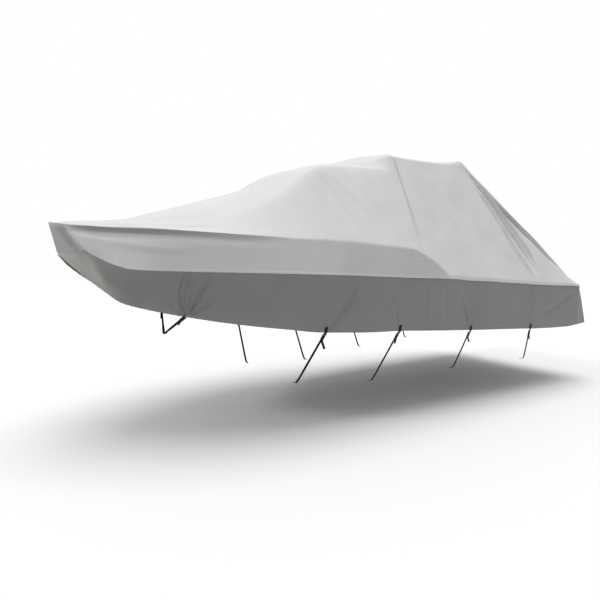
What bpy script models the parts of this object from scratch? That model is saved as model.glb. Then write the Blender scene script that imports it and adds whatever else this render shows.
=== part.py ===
"""A fitted cover for a boat with a hardtop, as it hangs on the boat: two top panels, three skirt panels and
the tie-down webbing. The boat is left out, so the cover is hollow and open below.

Lengths are in metres. The boat's table of offsets gives the shape: stations run aft from the bow tip, heights
are above the ground that the trailer stands on, and half-breadths are from the centreline. Port is -Y and +X
is aft. The origin is under the cloth at the middle of the hardtop.
"""

import math
from collections import namedtuple

import bmesh
import bpy
from mathutils import Matrix, Vector
from mathutils.bvhtree import BVHTree

# Where the hardtop holds the cover up: the origin of the part.
HOLD_STATION = 3.8
HOLD_HEIGHT = 2.896

CLOTH = 0.0022  # thickness of the coated cloth
SEAM_AIR = 0.0006  # air between two lapped pieces
LAYER = CLOTH + SEAM_AIR
LAP = 0.018  # how far a panel reaches under its neighbour
CORNER_AIR = 0.0005  # between the stern skirt and the aft edges of the other panels

LENGTH = 6.25  # bow tip to transom edge
CROSS_SEAM = 3.264  # station of the seam between the two top panels
STEM_RAKE = 0.068  # how far aft of the bow tip the closed stem ends
RAKE_FADE = 0.6  # station where the sections stand upright
SKIRT_START = 0.035  # station where the side skirts begin, beside the stem
BOW_HOLLOW = 0.16  # depth of the side skirts' hollow at the bow, as a share of their height
HOLLOW_FULL = 0.3  # station where the hollow is deepest
HOLLOW_END = 2.5  # station where it has gone

# The rail band's aft end curves down to the rub rail.
RAIL_BEND = 3.13
RAIL_END = 3.655
RAIL_ROUND = (1.3, 0.85)  # powers of the curve at its knee and at its foot
RAIL_LEAST = 0.030  # height of the rail line above the rub rail aft of the bend

# One row for each section: height of the crown, then half-breadth and height of the roof edge, the shoulder,
# the bow rail, the rub rail (belt) and the hem.
Section = namedtuple(
    "Section",
    "station crown edge_y edge_z shoulder_y shoulder_z rail_y rail_z belt_y belt_z hem_y hem_z",
)
OFFSETS = [
    Section(*row)
    for row in (
        (0.000, 1.962, 0.000, 1.962, 0.000, 1.962, 0.000, 1.962, 0.000, 1.700, 0.012, 1.690),
        (0.250, 1.988, 0.110, 1.974, 0.205, 1.950, 0.275, 1.927, 0.215, 1.688, 0.030, 1.495),
        (0.450, 2.005, 0.190, 1.975, 0.350, 1.940, 0.460, 1.907, 0.400, 1.600, 0.032, 1.345),
        (0.600, 2.024, 0.250, 1.985, 0.460, 1.928, 0.600, 1.898, 0.540, 1.553, 0.036, 1.238),
        (0.900, 2.124, 0.370, 2.040, 0.650, 1.930, 0.840, 1.876, 0.730, 1.538, 0.270, 1.155),
        (1.250, 2.230, 0.480, 2.140, 0.780, 1.995, 0.995, 1.853, 0.920, 1.530, 0.570, 1.092),
        (1.600, 2.342, 0.540, 2.262, 0.815, 2.120, 1.075, 1.835, 1.060, 1.521, 0.815, 1.042),
        (1.861, 2.424, 0.560, 2.372, 0.815, 2.262, 1.120, 1.821, 1.130, 1.513, 0.940, 1.010),
        (2.100, 2.582, 0.570, 2.535, 0.800, 2.455, 1.145, 1.817, 1.170, 1.505, 1.010, 0.978),
        (2.300, 2.645, 0.580, 2.610, 0.795, 2.560, 1.166, 1.808, 1.190, 1.499, 1.045, 0.965),
        (2.700, 2.757, 0.600, 2.680, 0.795, 2.590, 1.181, 1.785, 1.200, 1.483, 1.075, 0.940),
        (3.050, 2.857, 0.620, 2.738, 0.805, 2.600, 1.188, 1.763, 1.200, 1.469, 1.090, 0.930),
        (3.264, 2.914, 0.740, 2.808, 0.830, 2.585, 1.192, 1.752, 1.200, 1.462, 1.095, 0.918),
        (3.600, 2.918, 0.745, 2.806, 0.840, 2.568, 1.196, 1.740, 1.200, 1.452, 1.105, 0.897),
        (4.083, 2.916, 0.750, 2.826, 0.855, 2.545, 1.196, 1.700, 1.200, 1.424, 1.118, 0.868),
        (4.367, 2.905, 0.750, 2.872, 0.870, 2.515, 1.195, 1.660, 1.200, 1.409, 1.125, 0.853),
        (4.535, 2.742, 0.795, 2.720, 0.885, 2.420, 1.195, 1.640, 1.200, 1.400, 1.128, 0.845),
        (4.808, 2.452, 0.865, 2.470, 0.925, 2.260, 1.194, 1.610, 1.200, 1.385, 1.132, 0.830),
        (5.417, 1.968, 1.000, 2.010, 1.030, 1.895, 1.194, 1.500, 1.200, 1.352, 1.142, 0.797),
        (5.738, 1.700, 1.070, 1.738, 1.090, 1.665, 1.194, 1.450, 1.200, 1.338, 1.146, 0.785),
        (6.048, 1.440, 1.140, 1.461, 1.160, 1.430, 1.195, 1.375, 1.200, 1.325, 1.150, 0.780),
        (6.250, 1.333, 1.158, 1.351, 1.178, 1.346, 1.194, 1.338, 1.200, 1.308, 1.152, 0.792),
    )
]

# The section's lines, counted from the crown outwards.
CROWN, EDGE, SHOULDER, RAIL, BELT, HEM = range(6)
# How far each line's fold is rounded, as a share of the spans beside it.
ROUNDING = {CROWN: 0.34, EDGE: 0.14, SHOULDER: 0.15, RAIL: 0.04}

# Rows of the mesh across half a top panel, counted in lines from the crown.
TOP_ROWS = (0.17, 0.34, 0.6, 0.86, 1.0, 1.14, 1.5, 1.85, 2.0, 2.15, 2.4, 2.66, 2.96, 3.04, 3.4)
SKIRT_ROWS = (0.12, 0.35, 0.6, 0.85, 1.0)  # shares of the way from belt to hem
TRANSOM_LIP = 0.03  # share of the stern skirt that is sewn upright behind the top's edge
TRANSOM_ROWS = (0.0, TRANSOM_LIP, 0.1, 0.25, 0.45, 0.7, 1.0)  # shares of the way down it
STATION_STEP = 0.165
SEAM_STATIONS = (-0.035, LAP, 0.05, 0.09)  # close stations at the cross seam, from the seam
BEND_SHARES = (0.75, 0.9, 1.0)  # and where the rail line bends down, as shares of the bend
BOW_STATION = 0.14  # and behind the bow tip

# The stern skirt's hem: reach aft and half-breadth below the crown, roof edge, shoulder and rail lines.
TRANSOM_HEM = ((0.32, 0.0), (0.36, 0.80), (0.40, 1.07), (0.0, 1.152))
TRANSOM_SPRING = 0.9  # under 1, the skirt springs out at once and then hangs
TRANSOM_FLUTE = 0.014  # height of the hem's soft flutes

NEAR_STATION, NEAR_LINE = 0.01, 0.02  # the steps on each side that a normal is taken over
DECK_END = 1.9  # station where the fore slope gives way to the cabin front
STEEP_FROM = 1.2  # lines from the crown where the cabin's steep sides begin
EDGE_CALM = 0.25  # the folds fade out over this length at the bow and at the stern

# Soft folds in the cloth. Each path gives stations and heights for steep cloth, or stations and half-breadths
# for the fore slope. Width is from the fold's line to where it has faded, height is out of the cloth.
Fold = namedtuple("Fold", "path width height")
STEEP_FOLDS = (
    # The cross seam's raised edge, and the hollow behind it.
    Fold(((3.255, 2.82), (3.258, 2.20), (3.262, 1.78)), 0.050, 0.010),
    Fold(((3.305, 2.78), (3.308, 2.20), (3.312, 1.84)), 0.050, -0.012),
    # The fan from the hardtop's aft corner down to the rub rail.
    Fold(((4.42, 2.80), (4.66, 2.22), (4.97, 1.78), (5.20, 1.44)), 0.070, 0.016),
    Fold(((4.44, 2.72), (4.74, 2.18), (5.06, 1.76), (5.28, 1.44)), 0.065, -0.018),
    Fold(((4.72, 2.42), (5.00, 2.04), (5.23, 1.70), (5.35, 1.46)), 0.060, -0.012),
    Fold(((4.52, 2.68), (4.86, 2.34), (5.36, 1.96), (5.74, 1.66)), 0.055, -0.014),
    # The groove under the bow rail, and the fold from the bow tip down to the rub rail.
    Fold(((0.10, 1.90), (0.50, 1.855), (0.95, 1.835), (1.30, 1.815)), 0.045, -0.014),
    Fold(((0.05, 1.88), (0.25, 1.72), (0.42, 1.62)), 0.060, -0.014),
    # Pulls from the straps into the side skirts.
    Fold(((1.07, 1.14), (0.98, 1.32), (0.94, 1.46)), 0.060, 0.012),
    Fold(((1.08, 1.14), (1.13, 1.32), (1.17, 1.47)), 0.055, 0.012),
    Fold(((2.15, 0.99), (2.28, 1.22), (2.46, 1.44)), 0.070, 0.012),
    Fold(((2.20, 1.00), (2.42, 1.20), (2.58, 1.38)), 0.060, -0.009),
    Fold(((3.00, 0.96), (3.06, 1.16), (3.16, 1.38)), 0.065, -0.012),
    Fold(((4.09, 0.90), (3.98, 1.12), (3.84, 1.36)), 0.065, 0.010),
    Fold(((5.20, 0.84), (5.21, 1.08), (5.20, 1.32)), 0.050, 0.009),
    Fold(((5.42, 0.84), (5.80, 1.06), (6.15, 1.25)), 0.075, 0.012),
)
DECK_FOLDS = (
    # The long pull along the fore slope just inside the bow rail.
    Fold(((0.30, 0.17), (0.70, 0.50), (1.10, 0.72), (1.50, 0.80)), 0.090, 0.014),
    Fold(((0.45, 0.38), (0.90, 0.72), (1.40, 0.92)), 0.080, -0.014),
)
FOLD_END = 0.15  # share of a fold's path over which each end dies away
FAR_SIDE_SHARE = 0.75  # the starboard folds are a little weaker
FAR_SIDE_SHIFT = 0.06  # and lie a little further aft

Strap = namedtuple("Strap", "number station end_station end_y end_z tail")
STRAPS = (
    # The belly strap's end is at the keel, on the centreline.
    Strap(1, 1.066, 0.991, 0.0, 0.932, 0.075),
    Strap(2, 2.190, 2.134, 0.590, 0.420, 0.090),
    Strap(3, 3.050, 3.024, 0.685, 0.350, 0.070),
    Strap(4, 4.100, 4.094, 0.870, 0.400, 0.060),
    Strap(5, 5.204, 5.204, 1.045, 0.420, 0.055),
)
WEBBING = 0.0016
WEBBING_WIDTH = 0.026
TAB_WIDTH = 0.030
TAB_ON_SKIRT = 0.030  # how far up the skirt the tab is sewn
TAB_STEPS = 2
TAB_BELOW_HEM = 0.020
TAB_DROP = 0.0035  # how far below the hem the tab turns towards the strap
TAB_AIR = 0.0007  # between the tab and the skirt, whose faces turn a little under it
BUCKLE_LENGTH = 0.058
BUCKLE_WIDTH = 0.036
BUCKLE_DEPTH = 0.010
BUCKLE_BEVEL = 0.003
FOLD_RADIUS = 0.0028  # of the webbing doubled back below the buckle
FOLD_STEPS = 6
TAIL_OFF = 0.010  # how far the tail's end hangs off its strap
HOOK_TURN = 0.050  # the short turn inboard at a strap's lower end
HOOK_DROP = 0.12  # how much that turn falls for each metre inboard
KEEL_DROP = 0.010  # the belly strap's lowest point, below where its halves meet the keel
AFT = Vector((1, 0, 0))

SIDES = (("port", -1), ("starboard", 1))

# How the skirt and a strap lie at the hem: where the strap starts, unit directions up the skirt, aft along it
# and out of it, and the strap's end with the unit directions to it and across it.
HemFrame = namedtuple("HemFrame", "start up aft outward end away across")


def smoothstep(t):
    t = min(max(t, 0.0), 1.0)
    return t * t * (3 - 2 * t)


def offset_at(station, column):
    """The table's value at a station, on a curve that never overshoots its rows."""
    rows = [(row.station, getattr(row, column)) for row in OFFSETS]
    last = len(rows) - 2
    i = next((k for k in range(last + 1) if station <= rows[k + 1][0]), last)
    slopes = [(b[1] - a[1]) / (b[0] - a[0]) for a, b in zip(rows, rows[1:])]

    def tangent(k):
        if k == 0 or k == len(rows) - 1:
            return slopes[min(k, last)]
        before, after = slopes[k - 1], slopes[k]
        if before * after <= 0:
            return 0.0
        return 2 * before * after / (before + after)

    (s0, v0), (s1, v1) = rows[i], rows[i + 1]
    step = s1 - s0
    t = (station - s0) / step
    return (
        v0 * (1 + 2 * t) * (1 - t) ** 2
        + step * tangent(i) * t * (1 - t) ** 2
        + v1 * t * t * (3 - 2 * t)
        + step * tangent(i + 1) * t * t * (t - 1)
    )


def rail_height(station, belt):
    """Height of the rail line: the table's value, then the bend down to the rub rail."""
    full = offset_at(min(station, RAIL_BEND), "rail_z") - offset_at(min(station, RAIL_BEND), "belt_z")
    t = (station - RAIL_BEND) / (RAIL_END - RAIL_BEND)
    if t <= 0:
        return belt + full
    if t >= 1:
        return belt + RAIL_LEAST
    knee, foot = RAIL_ROUND
    return belt + RAIL_LEAST + (full - RAIL_LEAST) * (1 - t**knee) ** foot


def section(station):
    """The corner points (half-breadth, height) of one half-section, crown to hem."""
    belt = Vector((offset_at(station, "belt_y"), offset_at(station, "belt_z")))
    return [
        Vector((0.0, offset_at(station, "crown"))),
        Vector((offset_at(station, "edge_y"), offset_at(station, "edge_z"))),
        Vector((offset_at(station, "shoulder_y"), offset_at(station, "shoulder_z"))),
        Vector((offset_at(station, "rail_y"), rail_height(station, belt.y))),
        belt,
        Vector((offset_at(station, "hem_y"), offset_at(station, "hem_z"))),
    ]


def along(corners, t):
    """The point at t lines from the crown on the unrounded section, port negative."""
    side = -1 if t < 0 else 1
    t = abs(t)
    i = min(int(t), len(corners) - 2)
    point = corners[i].lerp(corners[i + 1], t - i)
    return Vector((side * point.x, point.y))


def rounded(corners, t):
    """The same, with the folds at the crown, roof edge, shoulder and rail rounded."""
    line = int(abs(t) + 0.5)
    reach = ROUNDING.get(line, 0.0)
    middle = line if t >= 0 else -line
    u = (t - middle + reach) / (2 * reach) if reach else -1
    if not 0 < u < 1:
        return along(corners, t)
    start, end = along(corners, middle - reach), along(corners, middle + reach)
    corner = along(corners, middle)
    return start * (1 - u) ** 2 + corner * 2 * u * (1 - u) + end * u * u


def path_distance(path, a, b):
    """How far (a, b) is from a path, and how far along the path the nearest point is, from 0 to 1."""
    best = (1e9, 0.0)
    count = len(path) - 1
    for k in range(count):
        (a0, b0), (a1, b1) = path[k], path[k + 1]
        run = ((a - a0) * (a1 - a0) + (b - b0) * (b1 - b0)) / ((a1 - a0) ** 2 + (b1 - b0) ** 2)
        run = min(max(run, 0.0), 1.0)
        away = math.hypot(a - a0 - run * (a1 - a0), b - b0 - run * (b1 - b0))
        best = min(best, (away, (k + run) / count))
    return best


def fold_height(fold, a, b):
    away, run = path_distance(fold.path, a, b)
    if away >= fold.width:
        return 0.0
    fade = smoothstep(run / FOLD_END) * smoothstep((1 - run) / FOLD_END)
    return fold.height * fade * math.cos(away / fold.width * math.pi / 2) ** 2


def unevenness(station, y, z):
    """Slow waves of a few millimetres, different on each side."""
    side = 1 if y < 0 else 1.7
    across = math.sin(3.1 * z + side) * math.sin(2.3 * station + 1.9 * side)
    along_boat = math.sin(5.3 * station + 2.2 * z * side) * math.sin(4.1 * z - 0.7 * station)
    return 0.004 * across + 0.003 * along_boat


def draped(station, y, z, steep):
    """How far the cloth stands out of its plain form at a point."""
    if y <= 0:
        share, shift = 1.0, 0.0
    else:
        share, shift = FAR_SIDE_SHARE, FAR_SIDE_SHIFT
    folds, level = (STEEP_FOLDS, z) if steep else (DECK_FOLDS, abs(y))
    height = sum(fold_height(fold, station - shift, level) for fold in folds)
    calm = smoothstep(station / EDGE_CALM) * smoothstep((LENGTH - station) / EDGE_CALM)
    return (share * height + unevenness(station, y, z)) * calm


def place(station, y, z):
    """A point of the boat's table in the part's own frame."""
    return Vector((station - HOLD_STATION, y, z - HOLD_HEIGHT))


def skin_point(station, t):
    """The plain form at a station and t lines from the crown, port negative, flared below the rub rail."""
    corners = section(station)
    point = rounded(corners, t)
    rake = STEM_RAKE * max(1 - station / RAKE_FADE, 0.0) ** 2
    low = min(max(abs(t) - RAIL, 0.0), 1.0)
    if abs(t) > BELT:
        fade = 1 - smoothstep((station - HOLLOW_FULL) / (HOLLOW_END - HOLLOW_FULL))
        depth = BOW_HOLLOW * fade * smoothstep(station / HOLLOW_FULL)
        inward = depth * (corners[BELT] - corners[HEM]).length * math.sin(math.pi * (abs(t) - BELT))
        point.x -= math.copysign(min(inward, abs(point.x) / 2), point.x)
    return place(station + rake * low, point.x, point.y)


def skin_normal(station, t):
    """Unit normal of the plain form, out of the cover."""
    fore, aft = max(station - NEAR_STATION, 0.001), min(station + NEAR_STATION, LENGTH)
    port, starboard = max(t - NEAR_LINE, -HEM), min(t + NEAR_LINE, HEM)
    fore_aft = skin_point(aft, t) - skin_point(fore, t)
    across = skin_point(station, starboard) - skin_point(station, port)
    return fore_aft.cross(across).normalized()


def skin(station, t):
    """The cloth's outer face, folds included."""
    point = skin_point(station, t)
    if station <= 0:
        return point
    on_deck = station < DECK_END and abs(t) <= RAIL
    steep = abs(t) > STEEP_FROM and not on_deck
    stand = draped(station, point.y, point.z + HOLD_HEIGHT, steep)
    return point + skin_normal(station, t) * stand


def mesh_stations():
    """Stations of the mesh: the table's, the straps' and some by the seam, and evenly between them."""
    fixed = {row.station for row in OFFSETS} | {strap.station for strap in STRAPS}
    fixed |= {SKIRT_START, BOW_STATION, CROSS_SEAM, LENGTH}
    fixed |= {CROSS_SEAM + offset for offset in SEAM_STATIONS}
    fixed |= {RAIL_BEND + share * (RAIL_END - RAIL_BEND) for share in BEND_SHARES}
    knots = sorted(fixed)
    stations = [knots[0]]
    for start, end in zip(knots, knots[1:]):
        parts = max(1, math.ceil((end - start) / STATION_STEP - 0.15))
        stations += [start + (end - start) * k / parts for k in range(1, parts + 1)]
    return stations


def lap_row(station):
    """The row that lies one lap above the rub rail, counted in lines from the crown."""
    corners = section(station)
    return BELT - min(LAP / (corners[BELT] - corners[RAIL]).length, 0.5)


def link_mesh(name, bm, material):
    mesh = bpy.data.meshes.new(name)
    bm.to_mesh(mesh)
    bm.free()
    mesh.materials.append(material)
    obj = bpy.data.objects.new(name, mesh)
    PARTS.objects.link(obj)
    return obj


def thicken(obj, thickness, offset):
    obj.data.shade_smooth()
    solid = obj.modifiers.new("cloth thickness", "SOLIDIFY")
    solid.thickness = thickness
    solid.offset = offset
    solid.use_even_offset = True
    solid.thickness_clamp = 1.0


def lofted(grid):
    """A new bmesh with a sheet of triangles through a grid of points."""
    bm = bmesh.new()
    rows = [[bm.verts.new(point) for point in row] for row in grid]
    for a, b in zip(rows, rows[1:]):
        for i in range(len(a) - 1):
            bm.faces.new((a[i], b[i], b[i + 1], a[i + 1]))
    bmesh.ops.remove_doubles(bm, verts=bm.verts, dist=1e-5)
    bmesh.ops.dissolve_degenerate(bm, edges=bm.edges, dist=1e-6)
    bmesh.ops.triangulate(bm, faces=bm.faces)
    bm.normal_update()
    return bm


def cloth_object(name, grid, material, inset=0.0):
    """A sheet set in from a grid of points and thickened inwards, and its outer face."""
    bm = lofted(grid)
    stern = place(LENGTH, 0, 0).x
    moves = [(vert, vert.normal * inset * vert.calc_shell_factor()) for vert in bm.verts]
    for vert, move in moves:
        if abs(vert.co.x - stern) < 1e-5:
            move.x = 0.0  # the edge at the stern keeps its plane
        vert.co -= move
    bm.normal_update()
    outer_face = BVHTree.FromBMesh(bm)
    obj = link_mesh(name, bm, material)
    thicken(obj, CLOTH, -1)
    return obj, outer_face


def top_grid(stations):
    """Rows of points from the port rub rail over the crown to the starboard one."""
    grid = []
    for station in stations:
        half = list(TOP_ROWS) + [lap_row(station), BELT]
        rows = [-t for t in reversed(half)] + [0.0] + half
        grid.append([skin(station, t) for t in rows])
    return grid


def skirt_grid(stations, side):
    """Rows of points from one lap above the rub rail down to the hem, on one side."""
    grid = []
    for station in stations:
        rows = [lap_row(station), BELT] + [BELT + share for share in SKIRT_ROWS]
        points = [skin(station, side * t) for t in rows]
        # The sheet's faces look outwards on both sides.
        grid.append(points if side > 0 else points[::-1])
    return grid


def transom_grid():
    """From the top's aft edge down the stern, behind the side skirts, to a hem that flares in a flat U."""
    top_corners = section(LENGTH)
    hem_z = top_corners[HEM].y
    rows = [t for t in TOP_ROWS if t < RAIL]
    rows = [-t for t in reversed(rows)] + [0.0] + rows
    grid = []
    for share in TRANSOM_ROWS:
        sprung = (max(share - TRANSOM_LIP, 0.0) / (1 - TRANSOM_LIP)) ** TRANSOM_SPRING
        plan = [Vector((y, reach * sprung)) for reach, y in TRANSOM_HEM]
        level = [
            Vector((corner.x + (point.x - corner.x) * share, point.y))
            for corner, point in zip(top_corners, plan)
        ]
        points = []
        for t in rows:
            at = rounded(level, t)
            height = rounded(top_corners, t).y
            flute = TRANSOM_FLUTE * sprung * math.sin(2.4 * t * math.pi) * (1 - (abs(t) / RAIL) ** 4)
            stand = max(at.y + flute, 0.0) + CORNER_AIR + CLOTH
            points.append(place(LENGTH + stand, at.x, height + (hem_z - height) * share))
        grid.append(points)
    return grid


def band_object(name, path, axes, width, material):
    """Webbing swept along a path. Each point has an axis, the way its width lies."""
    bm = bmesh.new()
    rings = []
    count = len(path)
    for k, (point, axis) in enumerate(zip(path, axes)):
        before, after = path[max(k - 1, 0)], path[min(k + 1, count - 1)]
        first = (point - before).normalized() if k else (after - point).normalized()
        second = (after - point).normalized() if k < count - 1 else first
        tangent = (first + second).normalized()
        normal = axis.cross(tangent).normalized()
        stretch = 1 / max(tangent.dot(first), 0.5)
        out = normal * WEBBING / 2 * stretch
        aft = axis * width / 2
        corners = (out - aft, out + aft, aft - out, -aft - out)
        rings.append([bm.verts.new(point + corner) for corner in corners])
    for a, b in zip(rings, rings[1:]):
        for i in range(4):
            j = (i + 1) % 4
            bm.faces.new((a[i], a[j], b[j], b[i]))
    bm.faces.new(rings[0][::-1])
    bm.faces.new(rings[-1])
    bmesh.ops.recalc_face_normals(bm, faces=bm.faces)
    return link_mesh(name, bm, material)


def on_skirt(grid, stations, station, row, side):
    """The point of the faceted skirt at a station, on one of its rows counted up from the hem."""
    i = max(k for k in range(len(stations) - 1) if stations[k] <= station + 1e-9)
    share = (station - stations[i]) / (stations[i + 1] - stations[i])
    pick = -1 - row if side > 0 else row
    return grid[i][pick].lerp(grid[i + 1][pick], share)


def hem_frame(grid, stations, strap, side):
    """Where a strap starts just outside the hem, and how the skirt and the strap lie there."""
    reach = TAB_WIDTH / 2
    hem = on_skirt(grid, stations, strap.station, 0, side)
    above = on_skirt(grid, stations, strap.station, 1, side)
    ahead = on_skirt(grid, stations, strap.station - reach, 0, side)
    behind = on_skirt(grid, stations, strap.station + reach, 0, side)
    up = (above - hem).normalized()
    aft = behind - ahead
    aft = (aft - up * aft.dot(up)).normalized()
    outward = aft.cross(up) * -side
    start = hem + outward * (WEBBING / 2 + TAB_AIR) - up * TAB_DROP
    end = place(strap.end_station, side * strap.end_y, strap.end_z)
    away = (end - start).normalized()
    across = (aft - away * aft.dot(away)).normalized()
    return HemFrame(start, up, aft, outward, end, away, across)


def tab_object(name, frame, skirt_face, material):
    """Webbing that lies on the skirt down to its hem and then follows the strap to the buckle."""
    shares = (-0.5, 0.0, 0.5)
    stand = TAB_AIR + WEBBING / 2
    grid = []
    for k in range(TAB_STEPS, -1, -1):
        above = frame.start + frame.up * (TAB_DROP + TAB_ON_SKIRT * k / TAB_STEPS)
        row = []
        for share in shares:
            on_face, normal, _, _ = skirt_face.find_nearest(above + frame.aft * TAB_WIDTH * share)
            row.append(on_face + normal * stand)
        grid.append(row)
    grid.append([frame.start + frame.aft * TAB_WIDTH * share for share in shares])
    low = frame.start + frame.away * TAB_BELOW_HEM
    grid.append([low + frame.across * TAB_WIDTH * share for share in shares])
    obj = link_mesh(name, lofted(grid), material)
    thicken(obj, WEBBING, 0)
    return obj


def buckle_object(name, frame, material):
    """The buckle's body, in line with its strap."""
    bpy.ops.mesh.primitive_cube_add(size=1)
    obj = bpy.context.object
    obj.name = obj.data.name = name
    for vert in obj.data.vertices:
        vert.co = (
            vert.co.x * BUCKLE_WIDTH,
            vert.co.y * BUCKLE_DEPTH,
            vert.co.z * BUCKLE_LENGTH,
        )
    turn = Matrix((frame.across, frame.away.cross(frame.across), frame.away)).transposed()
    obj.rotation_mode = "QUATERNION"
    obj.rotation_quaternion = turn.to_quaternion()
    obj.location = frame.start + frame.away * (TAB_BELOW_HEM + SEAM_AIR + BUCKLE_LENGTH / 2)
    bevel = obj.modifiers.new("rounded edges", "BEVEL")
    bevel.width = BUCKLE_BEVEL
    bevel.segments = 1
    obj.data.materials.append(material)
    for collection in obj.users_collection:
        collection.objects.unlink(obj)
    PARTS.objects.link(obj)
    return obj


def doubled_end(frame, tail):
    """The path of the webbing from the tail's free end up to the fold below the buckle."""
    below_buckle = TAB_BELOW_HEM + 2 * SEAM_AIR + BUCKLE_LENGTH + WEBBING / 2 + FOLD_RADIUS
    aside = (frame.outward - frame.away * frame.outward.dot(frame.away)).normalized()
    centre = frame.start + frame.away * below_buckle + aside * FOLD_RADIUS
    angles = [math.pi * k / FOLD_STEPS for k in range(FOLD_STEPS + 1)]
    arc = [centre + (aside * math.cos(a) - frame.away * math.sin(a)) * FOLD_RADIUS for a in angles]
    free_end = arc[0] + frame.away * tail + aside * TAIL_OFF
    return [free_end, arc[0].lerp(free_end, 0.35), *arc]


def strap_object(name, frame, strap, side, material):
    """A tie-down from its free tail, over the buckle's bar and down to the turn under the trailer's rail."""
    path = doubled_end(frame, strap.tail)
    turn = Vector((0, -side, -HOOK_DROP)).normalized() * HOOK_TURN
    path += [frame.end - frame.away * 0.02, frame.end + turn * 0.25, frame.end + turn]
    return band_object(name, path, [frame.across] * len(path), WEBBING_WIDTH, material)


def belly_strap_object(name, port, starboard, tail, material):
    """From the port tail, down under the keel and up to the starboard tail."""
    halves = []
    for frame in (port, starboard):
        path = doubled_end(frame, tail)
        middle = frame.start.lerp(frame.end, 0.6)
        low = frame.end - frame.away * 0.05
        axes = [frame.across] * len(path) + [frame.across.lerp(AFT, 0.5).normalized(), AFT]
        halves.append((path + [middle, low], axes))
    keel = port.end - Vector((0, 0, KEEL_DROP))
    path = halves[0][0] + [keel] + halves[1][0][::-1]
    axes = halves[0][1] + [AFT] + halves[1][1][::-1]
    return band_object(name, path, axes, WEBBING_WIDTH, material)


def fabric(name, colour, roughness):
    material = bpy.data.materials.new(name)
    material.use_nodes = True
    shader = material.node_tree.nodes["Principled BSDF"]
    shader.inputs["Base Color"].default_value = (*colour, 1)
    shader.inputs["Roughness"].default_value = roughness
    shader.inputs["Metallic"].default_value = 0
    return material


def clear_scene():
    for obj in list(bpy.data.objects):
        bpy.data.objects.remove(obj)


def build():
    cloth = fabric("cover cloth", (0.50, 0.50, 0.49), 0.85)
    skirt_cloth = fabric("skirt cloth", (0.24, 0.24, 0.235), 0.85)
    webbing = fabric("webbing", (0.02, 0.02, 0.02), 0.7)
    plastic = fabric("buckle plastic", (0.015, 0.015, 0.015), 0.45)

    stations = mesh_stations()
    fore = [s for s in stations if s <= CROSS_SEAM + LAP + 1e-6]
    aft = [s for s in stations if s >= CROSS_SEAM - 1e-6]
    cloth_object("top_fore", top_grid(fore), cloth)
    cloth_object("top_aft", top_grid(aft), cloth, inset=LAYER)
    along_skirt = [s for s in stations if s >= SKIRT_START - 1e-6]
    cloth_object("skirt_transom", transom_grid(), skirt_cloth)

    frames = {}
    for side_name, side in SIDES:
        grid = skirt_grid(along_skirt, side)
        skirt, skirt_face = cloth_object(f"skirt_{side_name}", grid, skirt_cloth, inset=2 * LAYER)
        set_in = [vert.co.copy() for vert in skirt.data.vertices]
        width = len(grid[0])
        outer = [set_in[k : k + width] for k in range(0, len(set_in), width)]
        for strap in STRAPS:
            frame = hem_frame(outer, along_skirt, strap, side)
            frames[strap.number, side_name] = frame
            tab_object(f"tab_{strap.number}_{side_name}", frame, skirt_face, webbing)
            buckle_object(f"buckle_{strap.number}_{side_name}", frame, plastic)
            if strap.number > 1:
                strap_object(f"strap_{strap.number}_{side_name}", frame, strap, side, webbing)
    belly = STRAPS[0]
    port, starboard = frames[belly.number, "port"], frames[belly.number, "starboard"]
    belly_strap_object("strap_1", port, starboard, belly.tail, webbing)


clear_scene()
PARTS = bpy.data.collections.new("boat_cover")
bpy.context.scene.collection.children.link(PARTS)
build()
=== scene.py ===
"""The looks of a fitted cover for a boat with a hardtop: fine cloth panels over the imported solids, with their
folds, seams, stitching, hems, webbing and buckles, and the camera, floor and light.

Lengths are in metres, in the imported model's frame: +X aft, +Y starboard, +Z up, and the origin under the
cloth at the middle of the hardtop. The table of offsets counts stations aft from the bow tip and heights
from the ground that the boat's trailer stands on.
"""

import math
from collections import namedtuple

import bmesh
import bpy
import numpy as np
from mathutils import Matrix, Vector, noise
from mathutils.bvhtree import BVHTree


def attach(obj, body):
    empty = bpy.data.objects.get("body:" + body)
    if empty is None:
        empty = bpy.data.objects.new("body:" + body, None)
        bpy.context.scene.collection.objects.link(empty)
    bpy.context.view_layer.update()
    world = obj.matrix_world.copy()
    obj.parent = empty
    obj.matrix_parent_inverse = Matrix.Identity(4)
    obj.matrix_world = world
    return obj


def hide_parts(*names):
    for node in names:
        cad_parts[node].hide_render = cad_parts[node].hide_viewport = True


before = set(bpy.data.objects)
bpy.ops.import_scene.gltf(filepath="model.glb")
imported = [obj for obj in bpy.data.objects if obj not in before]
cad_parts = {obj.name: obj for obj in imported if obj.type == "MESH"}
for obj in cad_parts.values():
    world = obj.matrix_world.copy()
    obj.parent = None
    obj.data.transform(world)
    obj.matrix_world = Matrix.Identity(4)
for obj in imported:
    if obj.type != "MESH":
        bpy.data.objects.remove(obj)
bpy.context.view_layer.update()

# ----------------------------------------
# Camera

HOLD_STATION, HOLD_HEIGHT = 3.8, 2.896  # the origin, aft of the bow tip and above the ground

FRAME_PIXELS = 600
FOCAL_PIXELS = 452.0
HORIZON_PIXEL = 267.0
SENSOR_MM = 36.0
EYE_HEIGHT = 1.575
CAMERA_STATION = -0.176
CAMERA_OFF = 4.45  # from the boat's centreline, to port
LOOK = (0.521, 0.8535, 0.0)
FAR_END = 200


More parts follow.
